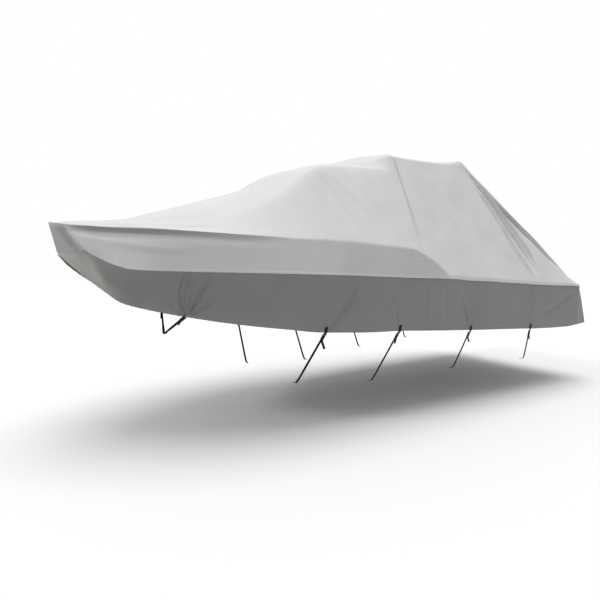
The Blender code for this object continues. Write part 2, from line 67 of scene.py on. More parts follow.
def add_camera():
    data = bpy.data.cameras.new("camera")
    data.sensor_width = SENSOR_MM
    data.lens = FOCAL_PIXELS / FRAME_PIXELS * SENSOR_MM
    data.shift_y = (HORIZON_PIXEL - FRAME_PIXELS / 2) / FRAME_PIXELS
    data.clip_end = FAR_END
    camera = bpy.data.objects.new("camera", data)
    bpy.context.scene.collection.objects.link(camera)
    camera.location = (CAMERA_STATION - HOLD_STATION, -CAMERA_OFF, EYE_HEIGHT - HOLD_HEIGHT)
    camera.rotation_euler = Vector(LOOK).to_track_quat("-Z", "Y").to_euler()
    bpy.context.scene.camera = camera


add_camera()

# ----------------------------------------
# The boat's form

CLOTH = 0.0022
SEAM_AIR = 0.0006
LAYER = CLOTH + SEAM_AIR
LAP = 0.018
CORNER_AIR = 0.0005
NO_LENGTH = 1e-9  # keeps a division by a length from one by zero

LENGTH = 6.25
CROSS_SEAM = 3.264
STEM_RAKE = 0.068
RAKE_FADE = 0.6
STEM_START = 0.008
BOW_HOLLOW = 0.16
HOLLOW_FULL = 0.3
HOLLOW_END = 2.5
RAIL_BEND = 3.13
RAIL_END = 3.655
RAIL_ROUND = (1.3, 0.85)
RAIL_LEAST = 0.030

Section = namedtuple(
    "Section",
    "station crown edge_y edge_z shoulder_y shoulder_z rail_y rail_z belt_y belt_z hem_y hem_z",
)
OFFSETS = np.array((
    (0.000, 1.962, 0.000, 1.962, 0.000, 1.962, 0.000, 1.962, 0.000, 1.700, 0.012, 1.690),
    (0.250, 1.988, 0.110, 1.974, 0.205, 1.950, 0.275, 1.927, 0.215, 1.688, 0.030, 1.495),
    (0.450, 2.005, 0.190, 1.975, 0.350, 1.940, 0.460, 1.907, 0.400, 1.600, 0.032, 1.345),
    (0.600, 2.024, 0.250, 1.985, 0.460, 1.928, 0.600, 1.898, 0.540, 1.553, 0.036, 1.238),
    (0.900, 2.124, 0.370, 2.040, 0.650, 1.930, 0.840, 1.876, 0.730, 1.538, 0.270, 1.155),
    (1.250, 2.230, 0.480, 2.140, 0.780, 1.995, 0.995, 1.853, 0.920, 1.530, 0.570, 1.092),
    (1.600, 2.342, 0.540, 2.262, 0.815, 2.120, 1.075, 1.835, 1.060, 1.521, 0.815, 1.042),
    (1.861, 2.424, 0.560, 2.372, 0.815, 2.262, 1.120, 1.821, 1.130, 1.513, 0.940, 1.010),
    (2.100, 2.582, 0.570, 2.535, 0.800, 2.455, 1.145, 1.817, 1.170, 1.505, 1.010, 0.978),
    (2.300, 2.645, 0.580, 2.610, 0.795, 2.560, 1.166, 1.808, 1.190, 1.499, 1.045, 0.965),
    (2.700, 2.757, 0.600, 2.680, 0.795, 2.590, 1.181, 1.785, 1.200, 1.483, 1.075, 0.940),
    (3.050, 2.857, 0.620, 2.738, 0.805, 2.600, 1.188, 1.763, 1.200, 1.469, 1.090, 0.930),
    (3.264, 2.914, 0.740, 2.808, 0.830, 2.585, 1.192, 1.752, 1.200, 1.462, 1.095, 0.918),
    (3.600, 2.918, 0.745, 2.806, 0.840, 2.568, 1.196, 1.740, 1.200, 1.452, 1.105, 0.897),
    (4.083, 2.916, 0.750, 2.826, 0.855, 2.545, 1.196, 1.700, 1.200, 1.424, 1.118, 0.868),
    (4.367, 2.905, 0.750, 2.872, 0.870, 2.515, 1.195, 1.660, 1.200, 1.409, 1.125, 0.853),
    (4.535, 2.742, 0.795, 2.720, 0.885, 2.420, 1.195, 1.640, 1.200, 1.400, 1.128, 0.845),
    (4.808, 2.452, 0.865, 2.470, 0.925, 2.260, 1.194, 1.610, 1.200, 1.385, 1.132, 0.830),
    (5.417, 1.968, 1.000, 2.010, 1.030, 1.895, 1.194, 1.500, 1.200, 1.352, 1.142, 0.797),
    (5.738, 1.700, 1.070, 1.738, 1.090, 1.665, 1.194, 1.450, 1.200, 1.338, 1.146, 0.785),
    (6.048, 1.440, 1.140, 1.461, 1.160, 1.430, 1.195, 1.375, 1.200, 1.325, 1.150, 0.780),
    (6.250, 1.333, 1.158, 1.351, 1.178, 1.346, 1.194, 1.338, 1.200, 1.308, 1.152, 0.792),
))
CROWN, EDGE, SHOULDER, RAIL, BELT, HEM = range(6)
ROUNDING = {EDGE: 0.14, SHOULDER: 0.15, RAIL: 0.04}
CROWN_ROUNDING = 0.34


def smoothstep(t):
    t = np.clip(t, 0.0, 1.0)
    return t * t * (3 - 2 * t)


def table_at(stations):
    """The table's row at each station, on curves that never overshoot its rows."""
    knots, values = OFFSETS[:, 0], OFFSETS[:, 1:]
    steps = np.diff(knots)
    slopes = np.diff(values, axis=0) / steps[:, None]
    before, after = slopes[:-1], slopes[1:]
    total = np.where(before * after > 0, before + after, 1.0)
    middle = np.where(before * after > 0, 2 * before * after / total, 0.0)
    tangents = np.vstack([slopes[:1], middle, slopes[-1:]])
    i = np.clip(np.searchsorted(knots, stations, side="right") - 1, 0, len(steps) - 1)
    step = steps[i][:, None]
    t = (stations - knots[i])[:, None] / step
    return (
        values[i] * (1 + 2 * t) * (1 - t) ** 2
        + step * tangents[i] * t * (1 - t) ** 2
        + values[i + 1] * t * t * (3 - 2 * t)
        + step * tangents[i + 1] * t * t * (t - 1)
    )


def corners_at(stations):
    """The six corner points (half-breadth, height) of each half-section, crown to hem."""
    row = Section(stations, *table_at(stations).T)
    bend = Section(0, *table_at(np.minimum(stations, RAIL_BEND)).T)
    full = bend.rail_z - bend.belt_z
    turn = np.clip((stations - RAIL_BEND) / (RAIL_END - RAIL_BEND), 0, 1)
    knee, foot = RAIL_ROUND
    rounder = RAIL_LEAST + (full - RAIL_LEAST) * (1 - turn**knee) ** foot
    rail_z = row.belt_z + np.where(turn > 0, rounder, full)
    lines = (
        (np.zeros_like(stations), row.crown),
        (row.edge_y, row.edge_z),
        (row.shoulder_y, row.shoulder_z),
        (row.rail_y, rail_z),
        (row.belt_y, row.belt_z),
        (row.hem_y, row.hem_z),
    )
    return np.array([np.stack(line, axis=1) for line in lines]).transpose(1, 0, 2)


def along(corners, lines):
    """Points on the unrounded sections, at lines[n, m] counted from the crown, port negative."""
    away = np.abs(lines)
    i = np.minimum(away.astype(int), corners.shape[1] - 2)
    n = np.arange(len(corners))[:, None]
    share = (away - i)[..., None]
    point = corners[n, i] * (1 - share) + corners[n, i + 1] * share
    point[..., 0] *= np.where(lines < 0, -1, 1)
    return point


def rounded(corners, lines):
    """The same, with the folds at the crown, roof edge, shoulder and rail rounded."""
    point = along(corners, lines)
    folds = [(0, CROWN_ROUNDING)] + [(side * line, r) for line, r in ROUNDING.items() for side in (-1, 1)]
    for middle, reach in folds:
        u = ((lines - middle + reach) / (2 * reach))[..., None]
        at = (np.full_like(lines, middle + offset) for offset in (-reach, 0.0, reach))
        start, corner, end = (along(corners, line) for line in at)
        curve = start * (1 - u) ** 2 + corner * 2 * u * (1 - u) + end * u * u
        point = np.where((u > 0) & (u < 1), curve, point)
    return point


def width_below(corners, corner):
    """The width of the cloth at each station, from a corner line down to the next."""
    return np.linalg.norm(corners[:, corner + 1] - corners[:, corner], axis=1)[:, None]


def plain_form(stations, lines):
    """The boat's form without folds: (n, m, 3) in the part's frame, and its height above the ground."""
    corners = corners_at(stations)
    point = rounded(corners, lines)
    s = stations[:, None]
    rake = STEM_RAKE * np.maximum(1 - s / RAKE_FADE, 0) ** 2
    low = np.clip(np.abs(lines) - RAIL, 0, 1)
    below = np.clip(np.abs(lines) - BELT, 0, 1)
    fade = (1 - smoothstep((s - HOLLOW_FULL) / (HOLLOW_END - HOLLOW_FULL))) * smoothstep(s / HOLLOW_FULL)
    inward = BOW_HOLLOW * fade * width_below(corners, BELT) * np.sin(math.pi * below)
    y = point[..., 0] - np.sign(point[..., 0]) * np.minimum(inward, np.abs(point[..., 0]) / 2)
    return np.stack([s + rake * low - HOLD_STATION, y, point[..., 1] - HOLD_HEIGHT], axis=-1)


def normals_of(grid):
    """Unit normals of a grid of points, out of the cover where the second index runs to starboard."""
    cross = np.cross(np.gradient(grid, axis=0), np.gradient(grid, axis=1))
    return cross / np.maximum(np.linalg.norm(cross, axis=-1, keepdims=True), NO_LENGTH)


# ----------------------------------------
# Folds and unevenness. Each fold's path gives stations and heights above the ground for steep cloth, or
# stations and half-breadths for the deck and roof. It reaches so far to each side of its path (above and
# below for one that runs down and aft), and grows and fades over shares of its length.

DECK_END = 1.9
STEEP_FROM = 1.16
STEEP_BLEND = 0.16
EDGE_CALM = 0.25
TIP_CALM = 0.1
FAR_SIDE_SHARE = 0.75
FAR_SIDE_SHIFT = 0.06
SLIM_START = 0.6  # reach where a fold starts, as a share of its full reach

Fold = namedtuple("Fold", "path above below height grow fade")
STEEP_FOLDS = (
    # The cross seam's raised edge, the hollow behind it and the shorter one ahead of it.
    Fold(((3.244, 2.86), (3.246, 2.20), (3.254, 1.74)), 0.026, 0.044, 0.013, 0.05, 0.4),
    Fold(((3.286, 2.86), (3.288, 2.20), (3.298, 1.74)), 0.050, 0.026, -0.015, 0.05, 0.3),
    Fold(((3.190, 2.78), (3.194, 2.45), (3.210, 2.10)), 0.024, 0.030, -0.004, 0.1, 0.5),
    # The fan from the hardtop's aft corner down to the rub rail: grooves with a ridge aft of each.
    Fold(((4.53, 2.59), (4.62, 2.42), (4.77, 2.17), (4.88, 1.97), (4.98, 1.76), (5.11, 1.55), (5.22, 1.40)),
         0.028, 0.030, -0.013, 0.15, 0.25),
    Fold(((4.57, 2.60), (4.66, 2.44), (4.82, 2.17), (4.93, 1.97), (5.05, 1.76), (5.18, 1.56), (5.29, 1.41)),
         0.040, 0.034, 0.020, 0.15, 0.25),
    Fold(((4.475, 2.74), (4.575, 2.60), (4.70, 2.43), (4.89, 2.17), (5.03, 1.97), (5.16, 1.77), (5.28, 1.59),
          (5.38, 1.45)), 0.038, 0.040, -0.031, 0.08, 0.35),
    Fold(((4.66, 2.55), (4.80, 2.38), (4.97, 2.18), (5.11, 2.00), (5.22, 1.84), (5.33, 1.69), (5.47, 1.51)),
         0.036, 0.036, 0.032, 0.15, 0.35),
    # Light pulls down the flanks.
    Fold(((3.86, 2.60), (3.95, 2.20), (4.10, 1.80)), 0.10, 0.10, 0.008, 0.3, 0.4),
    Fold(((3.55, 2.50), (3.62, 2.10), (3.72, 1.80)), 0.09, 0.09, -0.007, 0.3, 0.4),
    Fold(((2.34, 2.54), (2.62, 2.24), (2.96, 1.90)), 0.08, 0.08, 0.005, 0.2, 0.4),
    Fold(((2.24, 2.50), (2.36, 2.20), (2.52, 1.90)), 0.07, 0.07, -0.008, 0.2, 0.4),
    Fold(((2.70, 2.58), (2.78, 2.28), (2.84, 1.96)), 0.07, 0.07, 0.006, 0.3, 0.4),
    # The crease from the bow tip down to the rub rail, and the pulls along the bow under the rail.
    Fold(((0.10, 1.95), (0.16, 1.89), (0.20, 1.84), (0.25, 1.78), (0.30, 1.73), (0.36, 1.68), (0.43, 1.62)),
         0.150, 0.060, 0.026, 0.15, 0.4),
    Fold(((0.05, 1.95), (0.10, 1.86), (0.15, 1.77), (0.20, 1.72), (0.25, 1.67), (0.31, 1.62), (0.38, 1.58)),
         0.060, 0.066, -0.044, 0.12, 0.4),
    Fold(((0.40, 1.79), (0.53, 1.745), (0.71, 1.70), (0.90, 1.69)), 0.030, 0.040, -0.007, 0.3, 0.3),
    Fold(((0.45, 1.74), (0.60, 1.70), (0.84, 1.665), (1.00, 1.67)), 0.030, 0.035, -0.006, 0.3, 0.3),
    Fold(((0.12, 1.91), (0.45, 1.78), (0.80, 1.73), (1.15, 1.72)), 0.050, 0.080, 0.010, 0.2, 0.4),
    # Pulls from the straps into the side skirts.
    Fold(((1.045, 1.13), (0.985, 1.19), (0.90, 1.29)), 0.022, 0.024, -0.012, 0.10, 0.4),
    Fold(((1.050, 1.13), (0.965, 1.28), (0.90, 1.44)), 0.026, 0.026, 0.008, 0.15, 0.5),
    Fold(((1.055, 1.13), (0.998, 1.33), (0.958, 1.58)), 0.020, 0.020, -0.011, 0.10, 0.3),
    Fold(((1.062, 1.13), (1.018, 1.33), (0.986, 1.58)), 0.019, 0.019, 0.009, 0.10, 0.3),
    Fold(((1.070, 1.13), (1.042, 1.32), (1.020, 1.58)), 0.022, 0.020, -0.008, 0.10, 0.3),
    Fold(((1.078, 1.13), (1.080, 1.31), (1.075, 1.56)), 0.024, 0.022, -0.010, 0.10, 0.3),
    Fold(((1.080, 1.13), (1.105, 1.30), (1.115, 1.54)), 0.022, 0.022, 0.010, 0.15, 0.4),
    Fold(((1.085, 1.13), (1.140, 1.28), (1.175, 1.54)), 0.034, 0.026, -0.017, 0.10, 0.3),
    Fold(((1.095, 1.13), (1.178, 1.26), (1.235, 1.48)), 0.028, 0.026, 0.011, 0.15, 0.5),
    Fold(((1.100, 1.13), (1.190, 1.20), (1.28, 1.31)), 0.026, 0.024, -0.013, 0.10, 0.4),
    Fold(((2.20, 1.00), (2.34, 1.25), (2.45, 1.46)), 0.022, 0.040, 0.018, 0.1, 0.25),
    Fold(((2.24, 0.99), (2.39, 1.25), (2.49, 1.44)), 0.040, 0.022, -0.007, 0.1, 0.25),
    Fold(((2.34, 1.06), (2.44, 1.27), (2.53, 1.41)), 0.022, 0.030, 0.016, 0.25, 0.3),
    Fold(((2.81, 0.99), (2.91, 1.22), (3.01, 1.38)), 0.036, 0.026, -0.009, 0.2, 0.3),
    Fold(((3.04, 0.96), (3.00, 1.14), (3.06, 1.34)), 0.030, 0.030, 0.011, 0.1, 0.4),
    Fold(((3.43, 0.96), (3.41, 1.23), (3.40, 1.43)), 0.050, 0.050, 0.008, 0.2, 0.2),
    Fold(((3.71, 0.94), (3.65, 1.22), (3.60, 1.42)), 0.045, 0.045, -0.008, 0.2, 0.2),
    Fold(((4.09, 0.90), (3.99, 1.12), (3.84, 1.36)), 0.036, 0.028, 0.013, 0.1, 0.3),
    Fold(((4.11, 0.90), (4.22, 1.10), (4.36, 1.32)), 0.030, 0.036, 0.011, 0.1, 0.4),
    Fold(((5.21, 0.86), (5.19, 1.10), (5.17, 1.32)), 0.020, 0.026, 0.008, 0.05, 0.1),
    Fold(((5.245, 0.86), (5.225, 1.10), (5.20, 1.32)), 0.026, 0.020, -0.005, 0.05, 0.1),
    Fold(((5.45, 0.97), (5.84, 1.14), (6.18, 1.27)), 0.030, 0.050, 0.012, 0.2, 0.2),
    Fold(((5.50, 0.94), (5.88, 1.10), (6.20, 1.23)), 0.040, 0.025, -0.009, 0.2, 0.2),
)
DECK_FOLDS = (
    # The long pull across the fore slope to the bow rail, and the cloth rising over the rail.
    Fold(((0.48, 0.02), (0.69, 0.30), (0.92, 0.54), (1.30, 0.76)), 0.070, 0.110, -0.012, 0.1, 0.3),
    Fold(((0.30, 0.24), (0.62, 0.50), (0.95, 0.73), (1.40, 0.94)), 0.060, 0.070, 0.012, 0.2, 0.3),
    Fold(((1.75, 0.55), (2.05, 0.70), (2.30, 0.80)), 0.10, 0.10, 0.008, 0.3, 0.3),
    # Tension lines and sags on the hardtop and down the aft slope.
    Fold(((3.48, 0.66), (3.85, 0.45), (4.28, 0.38)), 0.10, 0.10, -0.006, 0.3, 0.3),
    Fold(((4.30, 0.70), (4.00, 0.62), (3.75, 0.30)), 0.08, 0.08, 0.005, 0.3, 0.3),
    Fold(((4.50, 0.68), (5.20, 0.80), (5.95, 0.93)), 0.09, 0.12, 0.012, 0.15, 0.3),
    Fold(((4.48, 0.60), (5.10, 0.48), (5.80, 0.28)), 0.10, 0.08, -0.010, 0.15, 0.4),
    Fold(((6.40, 1.00), (6.05, 0.72), (5.60, 0.52)), 0.07, 0.09, 0.010, 0.1, 0.4),
    Fold(((6.42, 0.72), (6.10, 0.50), (5.75, 0.36)), 0.06, 0.07, -0.008, 0.1, 0.4),
    Fold(((6.43, 0.30), (6.15, 0.22), (5.85, 0.20)), 0.06, 0.06, 0.007, 0.1, 0.4),
    # The cross seam over the roof.
    Fold(((3.252, -0.10), (3.252, 0.95)), 0.050, 0.040, 0.007, 0.05, 0.1),
)

# The cloth tucks in under the bow rail: depths at stations, and how far below the rail line the tuck starts,
# is full, starts to come out and ends.
TUCK_STATIONS = (0.04, 0.30, 0.70, 1.05, 1.75)
TUCK_DEPTHS = (0.0, 0.040, 0.046, 0.028, 0.0)
TUCK_DROPS = (0.003, 0.020, 0.036, 0.110)

# The pleat from the hardtop's aft corner down to the stern: how far its crease lies below the roof's edge
# line, and how deep it is there.
PLEAT_STATIONS = (4.28, 4.42, 4.60, 4.82, 5.00, 5.23, 5.58, 5.92)
PLEAT_DROPS = (0.024, 0.026, 0.032, 0.040, 0.048, 0.056, 0.056, 0.050)
PLEAT_DEPTHS = (0.0, 0.030, 0.044, 0.050, 0.056, 0.058, 0.034, 0.0)
PLEAT_RIM = 0.008  # how far below the edge the cloth starts to fall in
PLEAT_CURVE = 1.2
PLEAT_FLARE = 1.4  # length over which the cloth comes out again, as a share of the drop

# The edge is drawn taut from the hardtop's corner to the stern, and so stands out of the plain form there.
TAUT_STATIONS = (4.30, 4.50, 4.70, 4.90, 5.30, 5.70)
TAUT_HEIGHTS = (0.0, 0.030, 0.042, 0.036, 0.012, 0.0)
TAUT_ABOVE, TAUT_BELOW = 0.22, 0.12


def fold_height(fold, a, b):
    """How far a fold raises the cloth at (a, b)."""
    nearest = np.full(a.shape, np.inf)
    run = np.zeros(a.shape)
    upper = np.zeros(a.shape, bool)
    count = len(fold.path) - 1
    for k, ((a0, b0), (a1, b1)) in enumerate(zip(fold.path, fold.path[1:])):
        share = ((a - a0) * (a1 - a0) + (b - b0) * (b1 - b0)) / ((a1 - a0) ** 2 + (b1 - b0) ** 2)
        share = np.clip(share, 0, 1)
        off_a, off_b = a - a0 - share * (a1 - a0), b - b0 - share * (b1 - b0)
        away = np.hypot(off_a, off_b)
        closer = away < nearest
        nearest = np.where(closer, away, nearest)
        run = np.where(closer, (k + share) / count, run)
        upper = np.where(closer, (a1 - a0) * off_b - (b1 - b0) * off_a > 0, upper)
    reach = np.where(upper, fold.above, fold.below) * (SLIM_START + (1 - SLIM_START) * run)
    strength = smoothstep(run / fold.grow) * smoothstep((1 - run) / fold.fade)
    return fold.height * strength * (1 - smoothstep(nearest / reach))


SIDE_PHASES = (1, 1.7)
SLOW_UP, SLOW_AFT, SLOW_SHIFT = 3.1, 2.3, 1.9  # waves up and aft, and their shift between the sides
LEAN_AFT, LEAN_UP, CROSS_UP, CROSS_AFT = 5.3, 2.2, 4.1, 0.7  # waves that lean, and those across them
SLOW_HEIGHT, LEAN_HEIGHT = 0.004, 0.003


def unevenness(s, y, z):
    """Slow waves of a few millimetres, different on each side."""
    side = np.where(y < 0, *SIDE_PHASES)
    slow = np.sin(SLOW_UP * z + side) * np.sin(SLOW_AFT * s + SLOW_SHIFT * side)
    leaning = np.sin(LEAN_AFT * s + LEAN_UP * z * side) * np.sin(CROSS_UP * z - CROSS_AFT * s)
    return SLOW_HEIGHT * slow + LEAN_HEIGHT * leaning


def drop_from(stations, lines, corner):
    """Distances down the cloth from a corner line to the lines below it, up to the next corner."""
    return (np.abs(lines) - corner) * width_below(corners_at(stations), corner)


def under_rail(stations, lines, at, values, drops):
    """A value that holds under the rail line: sizes at stations, and the drops where it comes and goes."""
    down = drop_from(stations, lines, RAIL)
    start, full, hold, end = drops
    size = np.interp(stations, at, values)[:, None]
    return size * smoothstep((down - start) / (full - start)) * (1 - smoothstep((down - hold) / (end - hold)))


def tuck(stations, lines):
    return -under_rail(stations, lines, TUCK_STATIONS, TUCK_DEPTHS, TUCK_DROPS)


def pleat(stations, lines):
    """The stern pleat: the cloth falls inwards from the roof's edge to a crease and then flares out."""
    corners = corners_at(stations)
    roof, strip, flank = (width_below(corners, corner) for corner in (CROWN, EDGE, SHOULDER))
    away = np.abs(lines)
    down = np.where(away < SHOULDER, (away - EDGE) * strip, strip + (away - SHOULDER) * flank)
    drop = np.interp(stations, PLEAT_STATIONS, PLEAT_DROPS)[:, None]
    depth = np.interp(stations, PLEAT_STATIONS, PLEAT_DEPTHS)[:, None]
    wall = np.clip((down - PLEAT_RIM) / (drop - PLEAT_RIM), 0, 1) ** PLEAT_CURVE
    flare = 1 - smoothstep((down - drop) / (PLEAT_FLARE * drop))
    taut = np.interp(stations, TAUT_STATIONS, TAUT_HEIGHTS)[:, None]
    inward = (EDGE - away) * roof
    near = np.where(down > 0, 1 - smoothstep(down / TAUT_BELOW), 1 - smoothstep(inward / TAUT_ABOVE))
    return taut * near - depth * np.where(down < drop, wall, flare) * (down > 0)


def draped(stations, lines, plain):
    """How far the cloth stands out of its plain form over a grid."""
    s = np.broadcast_to(stations[:, None], lines.shape)
    y, z = plain[..., 1], plain[..., 2] + HOLD_HEIGHT
    share = np.where(y <= 0, 1.0, FAR_SIDE_SHARE)
    at = s - np.where(y <= 0, 0.0, FAR_SIDE_SHIFT)
    away = np.abs(lines)
    steep = smoothstep((away - STEEP_FROM + STEEP_BLEND) / STEEP_BLEND)
    steep = np.where((s < DECK_END) & (away <= RAIL), 0.0, steep)
    on_side = sum(fold_height(fold, at, z) for fold in STEEP_FOLDS)
    deck = sum(fold_height(fold, at, np.abs(y)) for fold in DECK_FOLDS)
    stern_calm = smoothstep((LENGTH - s) / EDGE_CALM)
    folds = share * (on_side * steep + deck * (1 - steep)) * smoothstep(s / TIP_CALM) * stern_calm
    slow = unevenness(s, y, z) * (smoothstep(s / EDGE_CALM) * stern_calm)
    return folds + slow + tuck(stations, lines) + share * pleat(stations, lines)


Wave = namedtuple("Wave", "lengths height seed")
RUMPLES = (
    Wave((0.42, 0.42, 0.42), 0.0050, 3.1),
    Wave((0.16, 0.16, 0.22), 0.0024, 8.7),
    Wave((0.06, 0.06, 0.07), 0.0005, 15.2),
)
PULLS = Wave((0.13, 0.50, 0.95), 0.0055, 21.4)  # long soft creases that run down the steep cloth
PULLS_FROM, PULLS_BLEND = 1.4, 0.6
DECK_CLEAR, DECK_BLEND = 0.05, 0.2  # the pulls start so far from the bow rail's line
STERN_CALM = 0.12
SKIRT_SLACK = 0.55
PUCKER_HEIGHT = 0.0013
PUCKER_REACH = 0.045
PUCKER_LENGTH = 0.052
HEM_PHASE = 0.4
RIPPLE_WANDERS = ((2.2, 7.3), (1.4, 19))  # what keeps the ripples from being even: height and wave
SEED_SHARES = (1, 0.7, 1.3)
FAR = 9.0  # further than any seam reaches


def waves(points, wave):
    lengths, shift = Vector(wave.lengths), Vector([share * wave.seed for share in SEED_SHARES])
    scaled = points.reshape(-1, 3) / np.array(lengths) + np.array(shift)
    heights = [noise.noise(Vector(p)) for p in scaled]
    return wave.height * np.array(heights).reshape(points.shape[:-1])


def skin(stations, lines):
    """The cloth's outer face over a grid, folds included, and its normals."""
    plain = plain_form(stations, lines)
    stand = draped(stations, lines, plain)
    s = np.broadcast_to(stations[:, None], lines.shape)
    away = np.abs(lines)
    on_deck = smoothstep((RAIL + DECK_CLEAR - away) / DECK_BLEND) * (s < DECK_END)
    steep = smoothstep((away - PULLS_FROM) / PULLS_BLEND) * (1 - on_deck)
    slack = sum(waves(plain, wave) for wave in RUMPLES) + waves(plain, PULLS) * steep
    calm = smoothstep(stations / EDGE_CALM)[:, None] * smoothstep((LENGTH - s) / STERN_CALM)
    stand += slack * calm * np.where(away >= BELT, SKIRT_SLACK, 1.0)
    stand += pucker(s, plain, lines, stations)
    grid = plain + normals_of(plain) * stand[..., None]
    return grid, normals_of(grid)


def ripple(run):
    phase = 2 * math.pi * run / PUCKER_LENGTH
    for height, wave in RIPPLE_WANDERS:
        phase = phase + height * np.sin(wave * run)
    return np.sin(phase)


def pucker(s, plain, lines, stations):
    """Small ripples where a seam gathers the cloth: beside the cross seam, the belt seam and the hem."""
    away = np.abs(lines)
    corners = corners_at(stations)
    above_belt = np.abs(drop_from(stations, lines, RAIL) - width_below(corners, RAIL))
    depth = width_below(corners, BELT)
    from_belt = np.where(away < BELT, above_belt, (away - BELT) * depth)
    from_hem = np.where(away >= BELT, (HEM - away) * depth, FAR)
    from_cross = np.abs(s - CROSS_SEAM - LAP / 2)
    total = ripple(s) * np.exp(-from_belt / PUCKER_REACH)
    total += ripple(s + HEM_PHASE) * np.exp(-from_hem / PUCKER_REACH)
    beside = ripple(plain[..., 1] + plain[..., 2]) * np.exp(-from_cross / PUCKER_REACH)
    total += np.where(away <= BELT, beside, 0)
    return PUCKER_HEIGHT * total * smoothstep(s / EDGE_CALM)


# ----------------------------------------
# Panels

GRAIN = 0.021  # spacing of the mesh of the aft top
FORE_GRAIN = 0.0235
SKIRT_GRAIN = 0.014
SAME = 5  # decimals to which two stations are one
SAME_POINT = 1e-5
BOW_START, BOW_GRAIN, BOW_COUNT = 0.04, 0.0115, 37  # closer stations at the crease beside the stem
BOW_ROWS = np.round(BOW_START + BOW_GRAIN * np.arange(BOW_COUNT), SAME)
PULL_START, PULL_GRAIN, PULL_COUNT = 0.88, 0.007, 68  # closer stations at the first strap's pulls
PULL_ROWS = np.round(PULL_START + PULL_GRAIN * np.arange(PULL_COUNT), SAME)
Span = namedtuple("Span", "start end rows")
TOP_SPANS = (
    Span(0.0, 0.84, 16), Span(0.86, 1.14, 13), Span(1.17, 1.80, 15), Span(1.83, 2.17, 12),
    Span(2.20, 2.93, 40), Span(2.95, 3.045, 8), Span(3.06, 3.24, 9), Span(3.28, 3.75, 9),
)
# Rows above the belt line and above the hem, and the most of the cloth's width that they take up.
SEAM_ROWS = (0.062, 0.051, 0.040, 0.030, 0.024, 0.019, 0.0175, 0.015, 0.0125, 0.0085, 0.0045, 0.002, 0.0)
HEM_ROWS = (0.058, 0.051, 0.0475, 0.0445, 0.042, 0.040, 0.038, 0.032, 0.024, 0.015, 0.008, 0.0045, 0.002, 0.0)
SEAM_SHARE, HEM_SHARE = 0.24, 0.4
HEM_BAND = 0.045
BINDING = 0.022  # width of the binding down the stern corners
BINDING_ROWS = (BINDING + 0.004, BINDING, BINDING - 0.003, 0.008)
DOUBLED = 0.0016  # how far doubled cloth stands out
DOUBLED_EDGE, DOUBLED_SLOPE = 0.001, 0.0025
SEAM_FLAT, SEAM_BLEND = 0.2, 0.4  # the belt seam lies flat at the bow tip


def half_rows(spans=TOP_SPANS):
    return np.concatenate([np.linspace(span.start, span.end, span.rows) for span in spans])


def evenly(start, end, close=(), grain=GRAIN):
    """Stations from start to end a grain apart, and closer ones at the seams and the bow crease."""
    even = np.linspace(start, end, max(2, round((end - start) / grain) + 1))
    even = even[(even < BOW_ROWS[0]) | (even > BOW_ROWS[-1])]
    extra = [value for value in (*close, *BOW_ROWS) if start <= value <= end]
    return np.unique(np.round(np.concatenate([even, extra]), SAME))


def mirrored(half):
    """Lines from -half's last to half's last, with one at the middle."""
    return np.concatenate([-half[..., :0:-1], half], axis=-1)


def edge_lines(stations, corner, distances, most_share):
    """Lines at these distances up the cloth from the next corner line, closed up where it is narrow."""
    length = width_below(corners_at(stations), corner)
    distances = np.array(distances)[None, :]
    least = distances / distances.max() * most_share * length
    return corner + 1 - np.minimum(distances, least) / length


def new_piece(mesh, material, node=None):
    """A piece that rides the cover's body, and stands for a node of the frame where one is named."""
    mesh.shade_smooth()
    mesh.materials.append(material)
    piece = bpy.data.objects.new(mesh.name, mesh)
    bpy.context.scene.collection.objects.link(piece)
    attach(piece, "root")
    if node:
        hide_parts(node)
    return piece


def run_along(grid, axis):
    """The greatest distances along a grid's rows or columns, from its start."""
    steps = np.linalg.norm(np.diff(grid, axis=axis), axis=-1).max(axis=1 - axis)
    return np.concatenate([[0], steps.cumsum()])


def sheet_piece(name, grid, material, node, shade=1.0):
    """A sheet through a grid of points, with each point's painted light and shade, as a share of the cloth's
    colour.
    """
    n, m = grid.shape[:2]
    index = np.arange(n * m).reshape(n, m)
    faces = np.stack([index[:-1, :-1], index[1:, :-1], index[1:, 1:], index[:-1, 1:]], axis=-1).reshape(-1, 4)
    mesh = bpy.data.meshes.new(name)
    mesh.from_pydata(grid.reshape(-1, 3).tolist(), [], faces.tolist())
    at = np.stack(np.meshgrid(run_along(grid, 0), run_along(grid, 1), indexing="ij"), axis=-1).reshape(-1, 2)
    mesh.uv_layers.new(name="cloth").data.foreach_set("uv", at[faces.reshape(-1)].reshape(-1))
    tone = np.broadcast_to(shade, (n, m)).reshape(-1)
    mesh.attributes.new("shade", "FLOAT", "POINT").data.foreach_set("value", tone)
    bm = bmesh.new()
    bm.from_mesh(mesh)
    bmesh.ops.remove_doubles(bm, verts=bm.verts, dist=SAME_POINT)
    bm.to_mesh(mesh)
    bm.free()
    piece = new_piece(mesh, material, node)
    solid = piece.modifiers.new("cloth thickness", "SOLIDIFY")
    solid.thickness = CLOTH
    solid.offset = -1
    return piece


def top_lines(stations):
    half = np.broadcast_to(half_rows(), (len(stations), len(half_rows())))
    return mirrored(np.concatenate([half, edge_lines(stations, RAIL, SEAM_ROWS, SEAM_SHARE)], axis=1))


def doubled(distance, band):
    """How far the doubled cloth of a seam or hem stands out at a distance from its edge."""
    return DOUBLED * (1 - smoothstep((distance - band + DOUBLED_EDGE) / DOUBLED_SLOPE))


